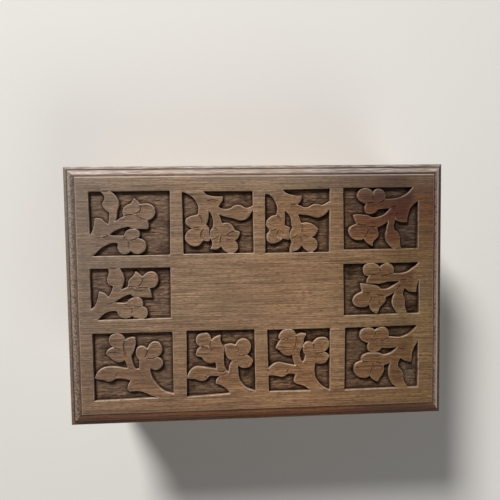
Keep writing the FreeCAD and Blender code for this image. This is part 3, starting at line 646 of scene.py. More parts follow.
            [(104.3, -11.7), (102.2, -13.1), (98.3, -14), (93.7, -13.8), (90.2, -11.9), (88.7, -8.8),
             (89.1, -5.8), (91.4, -2.7), (95.2, -0.8)],
            [(97.6, 0.1), (96.9, 2.7), (96.2, 5.4)],
            [(95.7, 8), (98.3, 7.7), (102.2, 7), (106.8, 6.5), (110.6, 5.8), (113.7, 4.1)],
            [(114.6, 2.7), (116.8, 2.2), (121.4, 2.5), (125.2, 4.2), (129.1, 6.5), (132, 8.6)],
            [(133.2, 9.9), (126, 9.8)],
            [(121.4, 9.7), (118.3, 8.8), (114.5, 7.9), (110.6, 7.8), (106.8, 8.2)],
            [(101.9, 8), (102, 10), (102.9, 13.1)],
            [(104.8, 15.6), (102.5, 15.2), (99.8, 16.5), (98.5, 19.2), (98.8, 23.4), (100.8, 26),
             (105.2, 26.6), (109.8, 26.2), (112.9, 24.6)],
            [(114.1, 22.1), (115.4, 24.2), (118.3, 26.2), (122.2, 26.5), (125.2, 25), (127.2, 22.3),
             (127.4, 19.2)],
            [(126.8, 16.9), (132.9, 16.8), (137.5, 17.3), (141.4, 18.6), (145.2, 21.2), (149, 24)],
            [(151.2, 27.2)], [(152, 30)], [(156, 30)], [(156, 13)],
            [(151.9, 11.6), (150.3, 7.7), (149.1, 3.1)],
            [(148.8, -1), (144.5, -0.6), (141.4, 0.4), (139.6, 2)],
            [(137.6, 3.3), (136.4, -0.8)],
            [(136, -3.1), (137.3, -5.4), (138.2, -8.5), (138, -12.3), (138.7, -16.9)],
            [(140.2, -21.3)], [(140.2, -25)], [(131.6, -25)],
        ],
        [
            [(114.1, 22.1), (114.4, 18.6), (112.4, 16.4)],
            [(104.8, 15.6), (108, 16), (111.6, 15.6)],
            [(126.8, 16.9), (122, 16), (116, 14.6)],
            [(97.6, 0.1), (101.4, -0.8), (105.6, -1)],
            [(104.3, -11.7), (105.4, -8), (107.4, -4.4)],
            [(119.6, -5), (115.8, -3.6), (111.4, -3.4)],
            [(114.2, -14), (113.6, -10.4), (115.6, -8)],
            [(133.2, 9.9), (136, 10.6), (140, 10.2)],
            [(130.6, 1.4), (132.4, 4.4), (136, 6.2)],
        ],
    ),
}

# Outlines are smooth curves in steps of curve_step mm, and distances from them are kept every grid mm.
curve_step, grid = 0.6, 0.7


def drawn(run, end):
    # Points on a smooth curve through a run to the next corner, which is left out.
    points = run + [end]
    if len(points) == 2:
        return points[:1]
    line = []
    ends = [points[0]] + points + [points[-1]]
    for p0, p1, p2, p3 in zip(ends, ends[1:], ends[2:], ends[3:]):
        count = max(1, round(math.dist(p1, p2) / curve_step))
        for t in (i / count for i in range(count)):
            weights = (-t ** 3 + 2 * t ** 2 - t, 3 * t ** 3 - 5 * t ** 2 + 2,
                       -3 * t ** 3 + 4 * t ** 2 + t, t ** 3 - t ** 2)
            line.append(tuple(sum(w * p[k] for w, p in zip(weights, (p0, p1, p2, p3))) / 2 for k in (0, 1)))
    return line


def within(outline, x, y):
    # How far each point lies inside an outline; negative outside.
    nearest = np.full(x.shape, 1e9)
    inside = np.zeros(x.shape, bool)
    for (ax, ay), (bx, by) in zip(outline, outline[1:] + outline[:1]):
        dx, dy = bx - ax, by - ay
        along = np.clip(((x - ax) * dx + (y - ay) * dy) / (dx * dx + dy * dy), 0, 1)
        nearest = np.minimum(nearest, (x - ax - along * dx) ** 2 + (y - ay - along * dy) ** 2)
        if dy:
            inside ^= ((ay > y) != (by > y)) & (x < ax + (y - ay) * dx / dy)
    reach = np.sqrt(nearest)
    return np.where(inside, reach, -reach)


def contour(field, level, x0, y0):
    # Closed lines along which a field on the grid has one level.
    above = field > level
    joins = {}
    mixed = ((above[:-1, :-1] != above[1:, 1:]) | (above[:-1, 1:] != above[1:, :-1])
             | (above[:-1, 1:] != above[1:, 1:]))
    for i, j in np.argwhere(mixed).tolist():
        sides = [(i, j, 0), (i, j + 1, 1), (i + 1, j, 0), (i, j, 1)]
        crossed = [s for s in sides if above[s[0], s[1]] != above[s[0] + s[2], s[1] + 1 - s[2]]]
        if len(crossed) == 4 and (field[i:i + 2, j:j + 2].mean() > level) != above[i, j]:
            crossed = [crossed[0], crossed[3], crossed[1], crossed[2]]
        for a, b in zip(crossed[::2], crossed[1::2]):
            joins.setdefault(a, []).append(b)
            joins.setdefault(b, []).append(a)
    lines = []
    while joins:
        line = [next(iter(joins))]
        while line[-1] in joins:
            following = joins.pop(line[-1])
            line.append(next((s for s in following if s in joins), line[0]))
        places = []
        for i, j, up in line[:-1]:
            a, b = field[i, j], field[i + up, j + 1 - up]
            share = (level - a) / (b - a)
            places.append((x0 + (j + share * (1 - up)) * grid, y0 + (i + share * up) * grid))
        lines.append(places)
    return lines


def thinned(line, gap):
    # A closed line with its points no nearer than gap, but with sharp turns, of over half a radian, kept.
    kept = [line[0]]
    for before, point, after in zip(line, line[1:], line[2:] + line[:1]):
        coming = math.atan2(point[1] - before[1], point[0] - before[0])
        going = math.atan2(after[1] - point[1], after[0] - point[0])
        sharp = abs((going - coming + math.pi) % (2 * math.pi) - math.pi) > 0.5
        if math.dist(point, kept[-1]) > (gap / 3 if sharp else gap):
            kept.append(point)
    if len(kept) > 3 and math.dist(kept[-1], kept[0]) < gap / 2:
        kept.pop()
    return kept


def ripple(x, y, long, wide, seed):
    # A smooth unevenness between about -1 and 1, with waves of a length and a width in mm.
    return noise.noise(Vector((x / long + seed, y / wide, seed * 3.7)))


# Marks of the face: points with their depth, and the lines that tie them.
points, depths, ties = [], [], []


def mark(line, line_depths, closed=True):
    # Adds the points of a line, each tied to the next.
    first = len(points)
    points.extend(Vector(p) for p in line)
    depths.extend(line_depths)
    count = len(line)
    ties.extend((first + i, first + (i + 1) % count) for i in range(count if closed else count - 1))


def sampled(field, x0, y0, x, y):
    # The value at a point of a field on the grid, or None off the grid.
    i, j = (y - y0) / grid, (x - x0) / grid
    if not (0 <= i < field.shape[0] - 1 and 0 <= j < field.shape[1] - 1):
        return None
    a, b = int(i), int(j)
    s, t = i - a, j - b
    return ((field[a, b] * (1 - t) + field[a, b + 1] * t) * (1 - s)
            + (field[a + 1, b] * (1 - t) + field[a + 1, b + 1] * t) * s)


def rise(value, start, end):
    # 0 before start, 1 after end and a smooth slope between.
    share = min(1.0, max(0.0, (value - start) / (end - start)))
    return share * share * (3 - 2 * share)


# Rings that follow the edge of the carving: worn top, round arris, steep wall and foot. Each is given as
# (in from the edge, depth), and its points are about ring_gap apart.
rings = ((0.55, 0.0), (0.2, 0.08), (0.0, 0.28), (-0.22, 2.8), (-0.65, 3.35))
ring_gap = 0.75
# How far the grid of a panel goes on round it, and how much the petals are pared down.
margin, paring = 4, 0.4
# Of each panel: how far the grid's points are in from the carving's edge and from the panel's, and its start.
hollows = []


def pared(x, y):
    # How far the top of a sprig is pared down: nothing at its root, more out among the petals.
    for _, panel, x0, y0 in hollows:
        reach = sampled(panel, x0, y0, x, y)
        if reach is not None:
            return paring * rise(reach, 0.5, 11)
    return 0.0


for corners, runs, _ in carving.values():
    sprig = [p for run, following in zip(runs, runs[1:] + runs[:1]) for p in drawn(run, following[0])]
    x0, y0 = min(p[0] for p in corners) - margin, min(p[1] for p in corners) - margin
    columns = int((max(p[0] for p in corners) + margin - x0) / grid) + 1
    rows = int((max(p[1] for p in corners) + margin - y0) / grid) + 1
    x, y = np.meshgrid(x0 + grid * np.arange(columns), y0 + grid * np.arange(rows))
    panel = within(corners, x, y)
    field = np.maximum(within(sprig, x, y), -panel)
    hollows.append((field, panel, x0, y0))
    for level, depth in rings:
        for line in contour(field, level, x0, y0):
            line = thinned(line, ring_gap)
            if len(line) > 3:
                worn = [0.1 * ripple(px, py, 5, 5, 2) if 0 < depth < 1 else 0 for px, py in line]
                tops = [pared(px, py) if level >= 0 else 0 for px, py in line]
                mark(line, [depth + w + t for w, t in zip(worn, tops)])

# What inward gives away from all panels.
plain = 9.0


def inward(x, y):
    # How far a point is in from the edge of the carving: above 0 on the top, below 0 in a hollow.
    for field, _, x0, y0 in hollows:
        reach = sampled(field, x0, y0, x, y)
        if reach is not None:
            return reach
    return plain


def ground(x, y):
    # Depth of the ground, left by a flat gouge pushed along the grain.
    depth = ground_depth + 0.8 * ripple(x, y, 9, 1.7, 1) + 0.5 * ripple(x, y, 4, 1.1, 5)
    # The near right corner is punched all over as well.
    punched = rise(x, 112, 122) * rise(-y, 54, 64)
    return depth + 0.5 * punched * ripple(x, y, 1.7, 1.7, 9)


# The ground of each panel, in rows along the strokes of the gouge, the tops of the sprigs, which are cupped
# between their edges, and the plain wood between. Points of the first two stray, and stay clear of the rings.
rng = np.random.default_rng(7)
stroke_step, row_step, top_step, plain_step = 1.7, 0.8, 1.8, 6
for field, _, x0, y0 in hollows:
    x1, y1 = x0 + grid * field.shape[1], y0 + grid * field.shape[0]
    for gy in np.arange(y0, y1, row_step):
        for gx in np.arange(x0, x1, stroke_step):
            px, py = gx + rng.uniform(-0.4, 0.4), gy + rng.uniform(-0.15, 0.15)
            if inward(px, py) < -1.25:
                mark([(px, py)], [ground(px, py)], False)
    for gy in np.arange(y0 + margin, y1 - margin, top_step):
        for gx in np.arange(x0 + margin, x1 - margin, top_step):
            px, py = gx + rng.uniform(-0.4, 0.4), gy + rng.uniform(-0.4, 0.4)
            reach = sampled(field, x0, y0, px, py)
            if reach is not None and reach > 1.3:
                cupped = 0.28 * rise(reach, 1.2, 3.6) * rise(pared(px, py), 0.05, 0.3)
                mark([(px, py)], [pared(px, py) + cupped + 0.1 + 0.1 * ripple(px, py, 8, 5, 4)], False)
for gy in np.arange(face_front + margin, face_back - margin, plain_step):
    for gx in np.arange(face_left + margin, face_right - margin, plain_step):
        if inward(gx, gy) == plain:
            mark([(gx, gy)], [0.03 + 0.03 * ripple(gx, gy, 30, 14, 6)], False)

# Veins: short V cuts between petals and along leaves, which run out at both ends.
vein_depth, vein_half_width = 1.2, 0.85
for _, _, veins in carving.values():
    for vein in veins:
        line = [p for p in drawn(vein[:-1], vein[-1]) + [vein[-1]] if inward(*p) > 0.8]
        if len(line) < 4:
            continue
        for side, depth in ((0, vein_depth), (vein_half_width, 0.0), (-vein_half_width, 0.0)):
            moved = []
            for i, (px, py) in enumerate(line):
                ahead, behind = line[min(i + 1, len(line) - 1)], line[max(i - 1, 0)]
                reach = math.dist(ahead, behind)
                along_x, along_y = (ahead[0] - behind[0]) / reach, (ahead[1] - behind[1]) / reach
                moved.append((px - along_y * side, py + along_x * side))
            taper = [min(1, (i + 2) / 3, (len(line) - i) / 4) for i in range(len(line))]
            mark(moved, [0.1 + depth * t + pared(*p) for t, p in zip(taper, moved)], False)

# Edge of the face, with points to carry the moulding, each with the way outwards. Its arris is rubbed down.
border_step, arris_reach, arris_depth = 5, 0.8, 0.3
corners = ((face_left, face_front), (face_right, face_front), (face_right, face_back), (face_left, face_back))
border, ways = [], []
for (ax, ay), (bx, by) in zip(corners, corners[1:] + corners[:1]):
    count = round(math.dist((ax, ay), (bx, by)) / border_step)
    for i in range(count):
        px, py = ax + (bx - ax) * i / count, ay + (by - ay) * i / count
        border.append((px, py))
        ways.append(((px == face_right) - (px == face_left), (py == face_back) - (py == face_front)))
inner = [(px - arris_reach * sx, py - arris_reach * sy) for (px, py), (sx, sy) in zip(border, ways)]
mark(inner, [0.02] * len(border))
border_start = len(points)
mark(border, [arris_depth] * len(border))

# All marks are joined by triangles. Points nearer than same_spot are one, and a point that comes up where
# two ties cross takes its depth from the rings.
same_spot = 0.004
spots, _, triangles, origins, _, _ = delaunay_2d_cdt(points, ties, [], 0, same_spot)
found = {source: spot for spot, sources in enumerate(origins) for source in sources}
vertices = []
for spot, sources in zip(spots, origins):
    if sources:
        depth = depths[sources[0]]
    else:
        reach = inward(spot.x, spot.y)
        depth = float(np.interp(-reach, [-level for level, _ in rings], [depth for _, depth in rings]))
        depth += pared(spot.x, spot.y) if reach >= 0 else 0
    vertices.append((spot.x, spot.y, top - max(depth, 0)))
faces = [tuple(triangle) for triangle in triangles]

# Moulding, ring by ring from the face outwards, as (out from the face, below the face). This is drawn for a
# breadth of moulding_width, and is stretched to the edge of the lid where the moulding is broader.
moulding_width, ovolo_radius, ovolo_out, ovolo_below = 10, 6.6, 1.2, 8.04
profile = [(0.35, 1.1), (0.6, 1.38), (1.0, 1.5), (1.8, 1.5)]
for i in range(10):
    angle = math.radians(8 + 5.5 * i)
    profile.append((ovolo_out + ovolo_radius * math.sin(angle), ovolo_below - ovolo_radius * math.cos(angle)))
profile += [(6.9, 4.7), (6.95, 6.2), (7.15, 6.45), (9.4, 6.5), (9.8, 6.65), (10.0, 7.1)]
profile += [(10.0, 15.1), (9.2, 16.0)]
ring = [found[border_start + i] for i in range(len(border))]
for out, below in profile:
    start = len(vertices)
    for (px, py), (sx, sy) in zip(border, ways):
        worn = 0.1 * abs(ripple(px + out, py - out, 11, 11, 8)) if 1 < below < 7 else 0
        share = (out - worn) / moulding_width
        out_x, out_y = sx * (half_x - abs(px)) * share, sy * (half_y - abs(py)) * share
        vertices.append((px + out_x, py + out_y, top - below))
    outer = list(range(start, start + len(border)))
    for i in range(len(border)):
        k = (i + 1) % len(border)
        faces.append((ring[i], outer[i], outer[k], ring[k]))
    ring = outer
faces.append(tuple(reversed(ring)))
mesh = bpy.data.meshes.new("carved_lid")
mesh.from_pydata([[c / 1000 for c in v] for v in vertices], [], faces)
lid = bpy.data.objects.new("carved_lid", mesh)
bpy.context.scene.collection.objects.link(lid)

# Gains for the hinge leaves and hollows for their knuckles, cut from the underside. Sizes are in m, and play
# is what a leaf has to spare in its gain.
play, gain_depth, cutter_height, hollow_radius = 0.00006, 0.0017, 0.004, 0.0031
axis = Vector(frame["joints"][0]["pos_m"])
for side in ("left", "right"):
    low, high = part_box("hinge_" + side + "_lid_leaf")
    length = high.x - low.x + play
    middle = (low.x + high.x) / 2
    gain_place = (middle, (low.y + axis.y) / 2, axis.z + gain_depth - cutter_height / 2)
    bpy.ops.mesh.primitive_cube_add(size=1, location=gain_place,
                                    scale=(length, axis.y - low.y + play, cutter_height))
    gain = bpy.context.object
    bpy.ops.mesh.primitive_cylinder_add(vertices=48, radius=hollow_radius, depth=length,
                                        location=(middle, axis.y, axis.z), rotation=(0, math.pi / 2, 0))
    hollow = bpy.context.object
    for cutter in (gain, hollow):
        cut = lid.modifiers.new("cut", "BOOLEAN")
        cut.object = cutter
        cut.solver = "MANIFOLD"
        bpy.context.view_layer.objects.active = lid
        bpy.ops.object.modifier_apply(modifier="cut")
        bpy.data.objects.remove(cutter)
bpy.ops.object.select_all(action="DESELECT")
lid.select_set(True)
bpy.context.view_layer.objects.active = lid
bpy.ops.object.mode_set(mode="EDIT")
bpy.ops.mesh.select_all(action="SELECT")
bpy.ops.mesh.remove_doubles(threshold=same_spot / 1000)
bpy.ops.object.mode_set(mode="OBJECT")
bpy.ops.object.shade_smooth_by_angle(angle=math.radians(29))

# How far each point of the carving is in from its edge, for the finish to follow. Points in the veins count
# as just below an edge, so that they take the dark of the hollows, dirt with painted shade, and points off
# the face as far from any.
edge = lid.data.attributes.new("edge", "FLOAT", "POINT")
farthest, in_vein, face_reach = 6.0, -0.34, 6
reaches = []
for vertex in lid.data.vertices:
    px, py, pz = vertex.co * 1000
    rim = min(px - face_left, face_right - px, py - face_front, face_back - py)
    reach = min(farthest, inward(px, py), rim)
    if reach > 0.7 and top - pz - pared(px, py) > 0.5:
        reach = in_vein
    reaches.append(max(-farthest, reach) if rim > -0.01 and pz > top - face_reach else farthest)
edge.data.foreach_set("value", reaches)

# Finish of the lid: the same oak, greyer at the back left, partly dust and partly a painted sheen, and redder
# and darker to the right, the darkening a painted fall-off of light. Dirt lies in the hollows and in the
# corners of the moulding, with painted shade there too, edges are painted pale, partly worn and partly a
# painted highlight, and the ends are specked with pores.
lid_oak = brown_oak("brown oak, carved lid", 0.0, (140, 480, 12))
tree = lid_oak.node_tree
shader = tree.nodes["Principled BSDF"]
place = add(tree, "ShaderNodeTexCoord")["Object"]
mm = add(tree, "ShaderNodeMapping", {"Vector": place, "Scale": (1000, 1000, 1000)})[0]
x, y, z = add(tree, "ShaderNodeSeparateXYZ", {0: mm})[0:3]
reach = add(tree, "ShaderNodeAttribute", attribute_name="edge")["Fac"]
colour = shader.inputs["Base Color"].links[0].from_socket

# The board's colour: darker to the right, a painted fall-off of light, and redder at the back right, though
# less so in the far corner, duller to the left and along the back, and the sprigs and the moulding darker
# than the frame. Places are in mm.
right = add(tree, "ShaderNodeMapRange", {0: x, 1: 45.0, 2: 135.0})[0]
before_corner = add(tree, "ShaderNodeMapRange", {0: x, 1: 150.0, 2: 130.0})[0]
olive = add(tree, "ShaderNodeMapRange", {0: y, 1: 102.0, 2: 96.0})[0]
olive = add(tree, "ShaderNodeMath", {0: olive, 1: before_corner}, operation="MAXIMUM")[0]
olive = add(tree, "ShaderNodeMapRange", {0: olive, 3: 0.45, 4: 1.0})[0]
red = add(tree, "ShaderNodeMapRange", {0: y, 1: 10.0, 2: 75.0})[0]
red = add(tree, "ShaderNodeMath", {0: red, 1: olive}, operation="MULTIPLY")[0]
shade_and_stain_to_right = []
for plain_shade, red_shade_and_stain in (("#D2D3C4", "#AA927C"), ("#E4DBD4", "#E1C9C0")):
    shade_and_stain_to_right.append(add(tree, "ShaderNodeMix", {0: red, 6: linear(plain_shade), 7: linear(red_shade_and_stain)},
                      data_type="RGBA")[2])
left = add(tree, "ShaderNodeMapRange", {0: x, 1: 20.0, 2: -175.0})[0]
rim = add(tree, "ShaderNodeMapRange", {0: y, 1: 80.0, 2: 112.0, 3: 0.0, 4: 0.75})[0]
duller = add(tree, "ShaderNodeMath", {0: left, 1: rim}, operation="MAXIMUM")[0]
low = add(tree, "ShaderNodeMapRange", {0: z, 1: top - 0.15, 2: top - 0.6})[0]
low_right = add(tree, "ShaderNodeMath", {0: low, 1: right}, operation="MULTIPLY")[0]
away = add(tree, "ShaderNodeMapRange", {0: x, 1: 70.0, 2: 105.0})[0]
for share in (red, low):
    away = add(tree, "ShaderNodeMath", {0: away, 1: share}, operation="MULTIPLY")[0]
shade = add(tree, "ShaderNodeMapRange", {0: x, 1: 0.0, 2: 60.0})[0]
for share in (rim, before_corner):
    shade = add(tree, "ShaderNodeMath", {0: shade, 1: share}, operation="MULTIPLY")[0]
near = add(tree, "ShaderNodeMapRange", {0: y, 1: -20.0, 2: -95.0})[0]
for share, tint in (
    # Darker to the right, a painted fall-off of light, and redder at the back right.
    (right, shade_and_stain_to_right[0]),
    (duller, linear("#D6D4D4")),
    (low, linear("#EDE3DA")),
    (away, linear("#E1D2D0")),
    (shade, linear("#CCC7BC")),
    # The sprigs and hollows to the right: the same painted fall-off with a redder tone.
    (low_right, shade_and_stain_to_right[1]),
    (near, linear("#F8EFE6")),
):
    colour = add(tree, "ShaderNodeMix", {0: share, 6: colour, 7: tint},
                 data_type="RGBA", blend_type="MULTIPLY")[2]

# Ground: torn along the grain and dotted in the punched corner, dry, stained in blotches, and darkest beside
# the walls, where dirt and painted shade lie together. Sizes of the patterns are in mm.
along = add(tree, "ShaderNodeMapping", {"Vector": mm, "Scale": (1 / 5, 1 / 1.1, 1 / 1.1)})[0]
torn = add(tree, "ShaderNodeTexNoise",
           {"Vector": along, "Scale": 1.0, "Detail": 5.0, "Roughness": 0.62, "Distortion": 0.8})[0]
torn = add(tree, "ShaderNodeMapRange", {0: torn, 1: 0.39, 2: 0.6})[0]
dots = add(tree, "ShaderNodeTexNoise", {"Vector": mm, "Scale": 1 / 1.2, "Detail": 1.0})[0]
dots = add(tree, "ShaderNodeMapRange", {0: dots, 1: 0.44, 2: 0.58})[0]
punched = add(tree, "ShaderNodeMapRange", {0: x, 1: 112.0, 2: 122.0})[0]
front = add(tree, "ShaderNodeMapRange", {0: y, 1: -54.0, 2: -64.0})[0]
punched = add(tree, "ShaderNodeMath", {0: punched, 1: front}, operation="MULTIPLY")[0]
torn = add(tree, "ShaderNodeMix", {0: punched, 2: torn, 3: dots})[0]
dirt = add(tree, "ShaderNodeMix", {0: torn, 6: linear("#4A3626"), 7: linear("#FFFAF2")}, data_type="RGBA")[2]
dry = add(tree, "ShaderNodeMapRange", {0: punched, 3: 0.24, 4: 0.36})[0]
blotch = add(tree, "ShaderNodeTexNoise", {"Vector": mm, "Scale": 1 / 13, "Detail": 2.0})[0]
blotch = add(tree, "ShaderNodeMapRange", {0: blotch, 1: 0.5, 2: 0.68, 3: 0.0, 4: 0.75})[0]
soiled = colour
for share, blend, tint in (
    (1.0, "MULTIPLY", dirt),
    (dry, "MIX", linear("#8A7866")),
    (blotch, "MULTIPLY", linear("#76604F")),
):
    soiled = add(tree, "ShaderNodeMix", {0: share, 6: soiled, 7: tint}, data_type="RGBA", blend_type=blend)[2]
deep = add(tree, "ShaderNodeMapRange", {0: reach, 1: -0.1, 2: -0.5})[0]
wall_shade_and_dirt = add(tree, "ShaderNodeMapRange", {0: reach, 1: -3.6, 2: -0.5})[0]
wall_shade_and_dirt = add(tree, "ShaderNodeMath", {0: wall_shade_and_dirt, 1: deep}, operation="MULTIPLY")[0]

# Arrises painted pale, partly rubbed wear and partly a painted highlight, in patches of about 6 mm, and less
# to the right and back.
rubbed_and_highlit = add(tree, "ShaderNodeMapRange", {0: reach, 1: 0.42, 2: 0.12})[0]
faded = add(tree, "ShaderNodeMapRange", {0: reach, 1: -0.3, 2: 0.0})[0]
patchy = add(tree, "ShaderNodeTexNoise", {"Vector": mm, "Scale": 1 / 6, "Detail": 2.0})[0]
patchy = add(tree, "ShaderNodeMapRange", {0: patchy, 1: 0.35, 2: 0.6, 3: 0.3, 4: 0.82})[0]
spared = add(tree, "ShaderNodeMapRange", {0: away, 3: 1.0, 4: 0.55})[0]
less = add(tree, "ShaderNodeMapRange", {0: right, 3: 1.0, 4: 0.7})[0]
for share in (faded, patchy, spared, less):
    rubbed_and_highlit = add(tree, "ShaderNodeMath", {0: rubbed_and_highlit, 1: share}, operation="MULTIPLY")[0]

# Moulding: each side's share of the way out from the face, the greatest of them, and the side a point is on.
shares = {}
for side, across, start, end in (
    ("left", x, face_left, -half_x),
    ("right", x, face_right, half_x),
    ("front", y, face_front, -half_y),
    ("back", y, face_back, half_y),
):
    shares[side] = add(tree, "ShaderNodeMapRange", {0: across, 1: start, 2: end})[0]
ends = add(tree, "ShaderNodeMath", {0: shares["left"], 1: shares["right"]}, operation="MAXIMUM")[0]
out = add(tree, "ShaderNodeMath", {0: shares["front"], 1: shares["back"]}, operation="MAXIMUM")[0]
out = add(tree, "ShaderNodeMath", {0: out, 1: ends}, operation="MAXIMUM")[0]
above = add(tree, "ShaderNodeMapRange", {0: z, 1: top - 8.5, 2: top - 7.0})[0]
on_side, upper = {}, {}
for side, share in shares.items():
    on_side[side] = add(tree, "ShaderNodeMath", {0: share, 1: out, 2: 0.02}, operation="COMPARE")[0]
    upper[side] = add(tree, "ShaderNodeMath", {0: on_side[side], 1: above}, operation="MULTIPLY")[0]
# It is darker in the ledge and dark outside the ovolo, at the foot of its step: painted shade with dirt in
# these creases. The left end is darker still there and in the ledge.
ramps = []
for share, stops in (
    (out, ((0.03, "#E6DCD2"), (0.18, "#DACEC2"), (0.24, "#FFFFFF"), (0.62, "#F0E8E0"), (0.67, "#64564C"),
           (0.73, "#64564C"), (0.78, "#FFFFFF"))),
    (shares["left"], ((0.03, "#FFFFFF"), (0.1, "#DAD2CA"), (0.3, "#D4CCC4"), (0.42, "#FFFFFF"),
                      (0.6, "#FFFFFF"), (0.65, "#5E5650"), (0.76, "#5E5650"), (0.8, "#FFFFFF"))),
):
    ramps.append(add(tree, "ShaderNodeValToRGB", {0: share})[0])
    elements = ramps[-1].node.color_ramp.elements
    elements[0].color = (1, 1, 1, 1)
    for position, tint in stops:
        elements.new(position).color = linear(tint)
lines, left_crease_shade = ramps
# Its right and back sides are painted pale in streaks, a painted sheen with some wear, as is the back arris
# of the face, and the back shines.
clean = add(tree, "ShaderNodeMapRange", {0: lines, 1: 0.4, 2: 0.9})[0]
streak = add(tree, "ShaderNodeMapping", {"Vector": mm, "Scale": (1 / 14, 1 / 1.2, 1 / 1.2)})[0]
streak = add(tree, "ShaderNodeTexNoise", {"Vector": streak, "Scale": 1.0, "Detail": 3.0})[0]
streak = add(tree, "ShaderNodeMapRange", {0: streak, 1: 0.35, 2: 0.65, 3: 0.35, 4: 1.5})[0]
for share in (streak, above):
    clean = add(tree, "ShaderNodeMath", {0: clean, 1: share}, operation="MULTIPLY")[0]
most_back_sheen = 0.36
sheen_and_wear = {}
for side, most in (("right", 0.2), ("back", most_back_sheen)):
    sheen_and_wear[side] = add(tree, "ShaderNodeMapRange", {0: shares[side], 1: 0.16, 2: 0.3, 3: 0.0, 4: most})[0]
    for share in (on_side[side], clean):
        sheen_and_wear[side] = add(tree, "ShaderNodeMath", {0: sheen_and_wear[side], 1: share}, operation="MULTIPLY")[0]
polish = add(tree, "ShaderNodeMapRange", {0: sheen_and_wear["back"], 1: 0.0, 2: most_back_sheen})[0]
arris = add(tree, "ShaderNodeMapRange", {0: y, 1: face_back - 1.1, 2: face_back - 0.3, 3: 0.0, 4: 0.3})[0]
on_face = add(tree, "ShaderNodeMapRange", {0: out, 1: 0.05, 2: 0.02})[0]
pale = add(tree, "ShaderNodeMath", {0: arris, 1: on_face}, operation="MULTIPLY")[0]
for share in sheen_and_wear.values():
    pale = add(tree, "ShaderNodeMath", {0: pale, 1: share}, operation="MAXIMUM")[0]
# Its front is painted darker and redder: painted shade on the side that faces away from the light.
front_shade = add(tree, "ShaderNodeMapRange", {0: shares["front"], 1: 0.0, 2: 0.2})[0]
front_shade = add(tree, "ShaderNodeMath", {0: front_shade, 1: upper["front"]}, operation="MULTIPLY")[0]
# The ovolo of both ends has specks of cut grain of about 1.6 mm, coarser than real pores so that they show.
speck = add(tree, "ShaderNodeTexNoise", {"Vector": mm, "Scale": 1 / 1.6, "Detail": 2.0})[0]
speck = add(tree, "ShaderNodeMapRange", {0: speck, 1: 0.4, 2: 0.6})[0]
cut_grain = add(tree, "ShaderNodeMix", {0: speck, 6: linear("#33261D"), 7: linear("#A58D77")},
                data_type="RGBA")[2]
specked = add(tree, "ShaderNodeMath", {0: ends, 1: out, 2: 0.02}, operation="COMPARE")[0]
for start, end in ((0.12, 0.24), (0.74, 0.64)):
    share = add(tree, "ShaderNodeMapRange", {0: ends, 1: start, 2: end, 3: 0.0, 4: 0.8})[0]
    specked = add(tree, "ShaderNodeMath", {0: specked, 1: share}, operation="MULTIPLY")[0]
# The left end has a grey fillet. Both ends have a painted highlight along the crest of the ovolo, the left
# one faint and towards the back, and the right end has painted shade outside it.
back = add(tree, "ShaderNodeMapRange", {0: y, 1: -100.0, 2: 80.0, 3: 0.4, 4: 1.0})[0]
grey = add(tree, "ShaderNodeMapRange", {0: shares["left"], 1: 0.74, 2: 0.8, 3: 0.0, 4: 0.3})[0]
for share in (upper["left"], back):
    grey = add(tree, "ShaderNodeMath", {0: grey, 1: share}, operation="MULTIPLY")[0]
faint = add(tree, "ShaderNodeMapRange", {0: y, 1: -100.0, 2: 80.0, 3: 0.0, 4: 0.12})[0]
crest_highlight, outside = {}, {}
for side, most in (("left", faint), ("right", 0.6)):
    outside[side] = add(tree, "ShaderNodeMapRange", {0: shares[side], 1: 0.62, 2: 0.7})[0]
    crest_highlight[side] = add(tree, "ShaderNodeMapRange", {0: shares[side], 1: 0.36, 2: 0.48})[0]
    crest_highlight[side] = add(tree, "ShaderNodeMath", {0: crest_highlight[side], 1: outside[side]},
                      operation="SUBTRACT", use_clamp=True)[0]
    for share in (upper[side], most):
        crest_highlight[side] = add(tree, "ShaderNodeMath", {0: crest_highlight[side], 1: share}, operation="MULTIPLY")[0]
end_shade = add(tree, "ShaderNodeMath", {0: outside["right"], 1: upper["right"]}, operation="MULTIPLY")[0]

# Dust and painted sheen: a thin grey film to the left and along the back, partly dust and partly a painted
# sheen, browner in the hollows and less beside their walls.
dust_and_sheen = add(tree, "ShaderNodeMath", {0: left, 1: back}, operation="MULTIPLY")[0]
back_dust_and_sheen = add(tree, "ShaderNodeMapRange", {0: right, 3: 1.0, 4: 0.5})[0]
back_dust_and_sheen = add(tree, "ShaderNodeMath", {0: rim, 1: back_dust_and_sheen}, operation="MULTIPLY")[0]
dust_and_sheen = add(tree, "ShaderNodeMath", {0: dust_and_sheen, 1: back_dust_and_sheen}, operation="MAXIMUM")[0]
flat = add(tree, "ShaderNodeMapRange", {0: out, 1: 0.2, 2: 0.0, 3: 0.7, 4: 1.0})[0]
swept = add(tree, "ShaderNodeMapRange", {0: wall_shade_and_dirt, 3: 1.0, 4: 0.2})[0]
for share in (flat, above, swept):
    dust_and_sheen = add(tree, "ShaderNodeMath", {0: dust_and_sheen, 1: share}, operation="MULTIPLY")[0]
film = add(tree, "ShaderNodeMix", {0: deep, 6: linear("#374244"), 7: linear("#604F46")}, data_type="RGBA")[2]

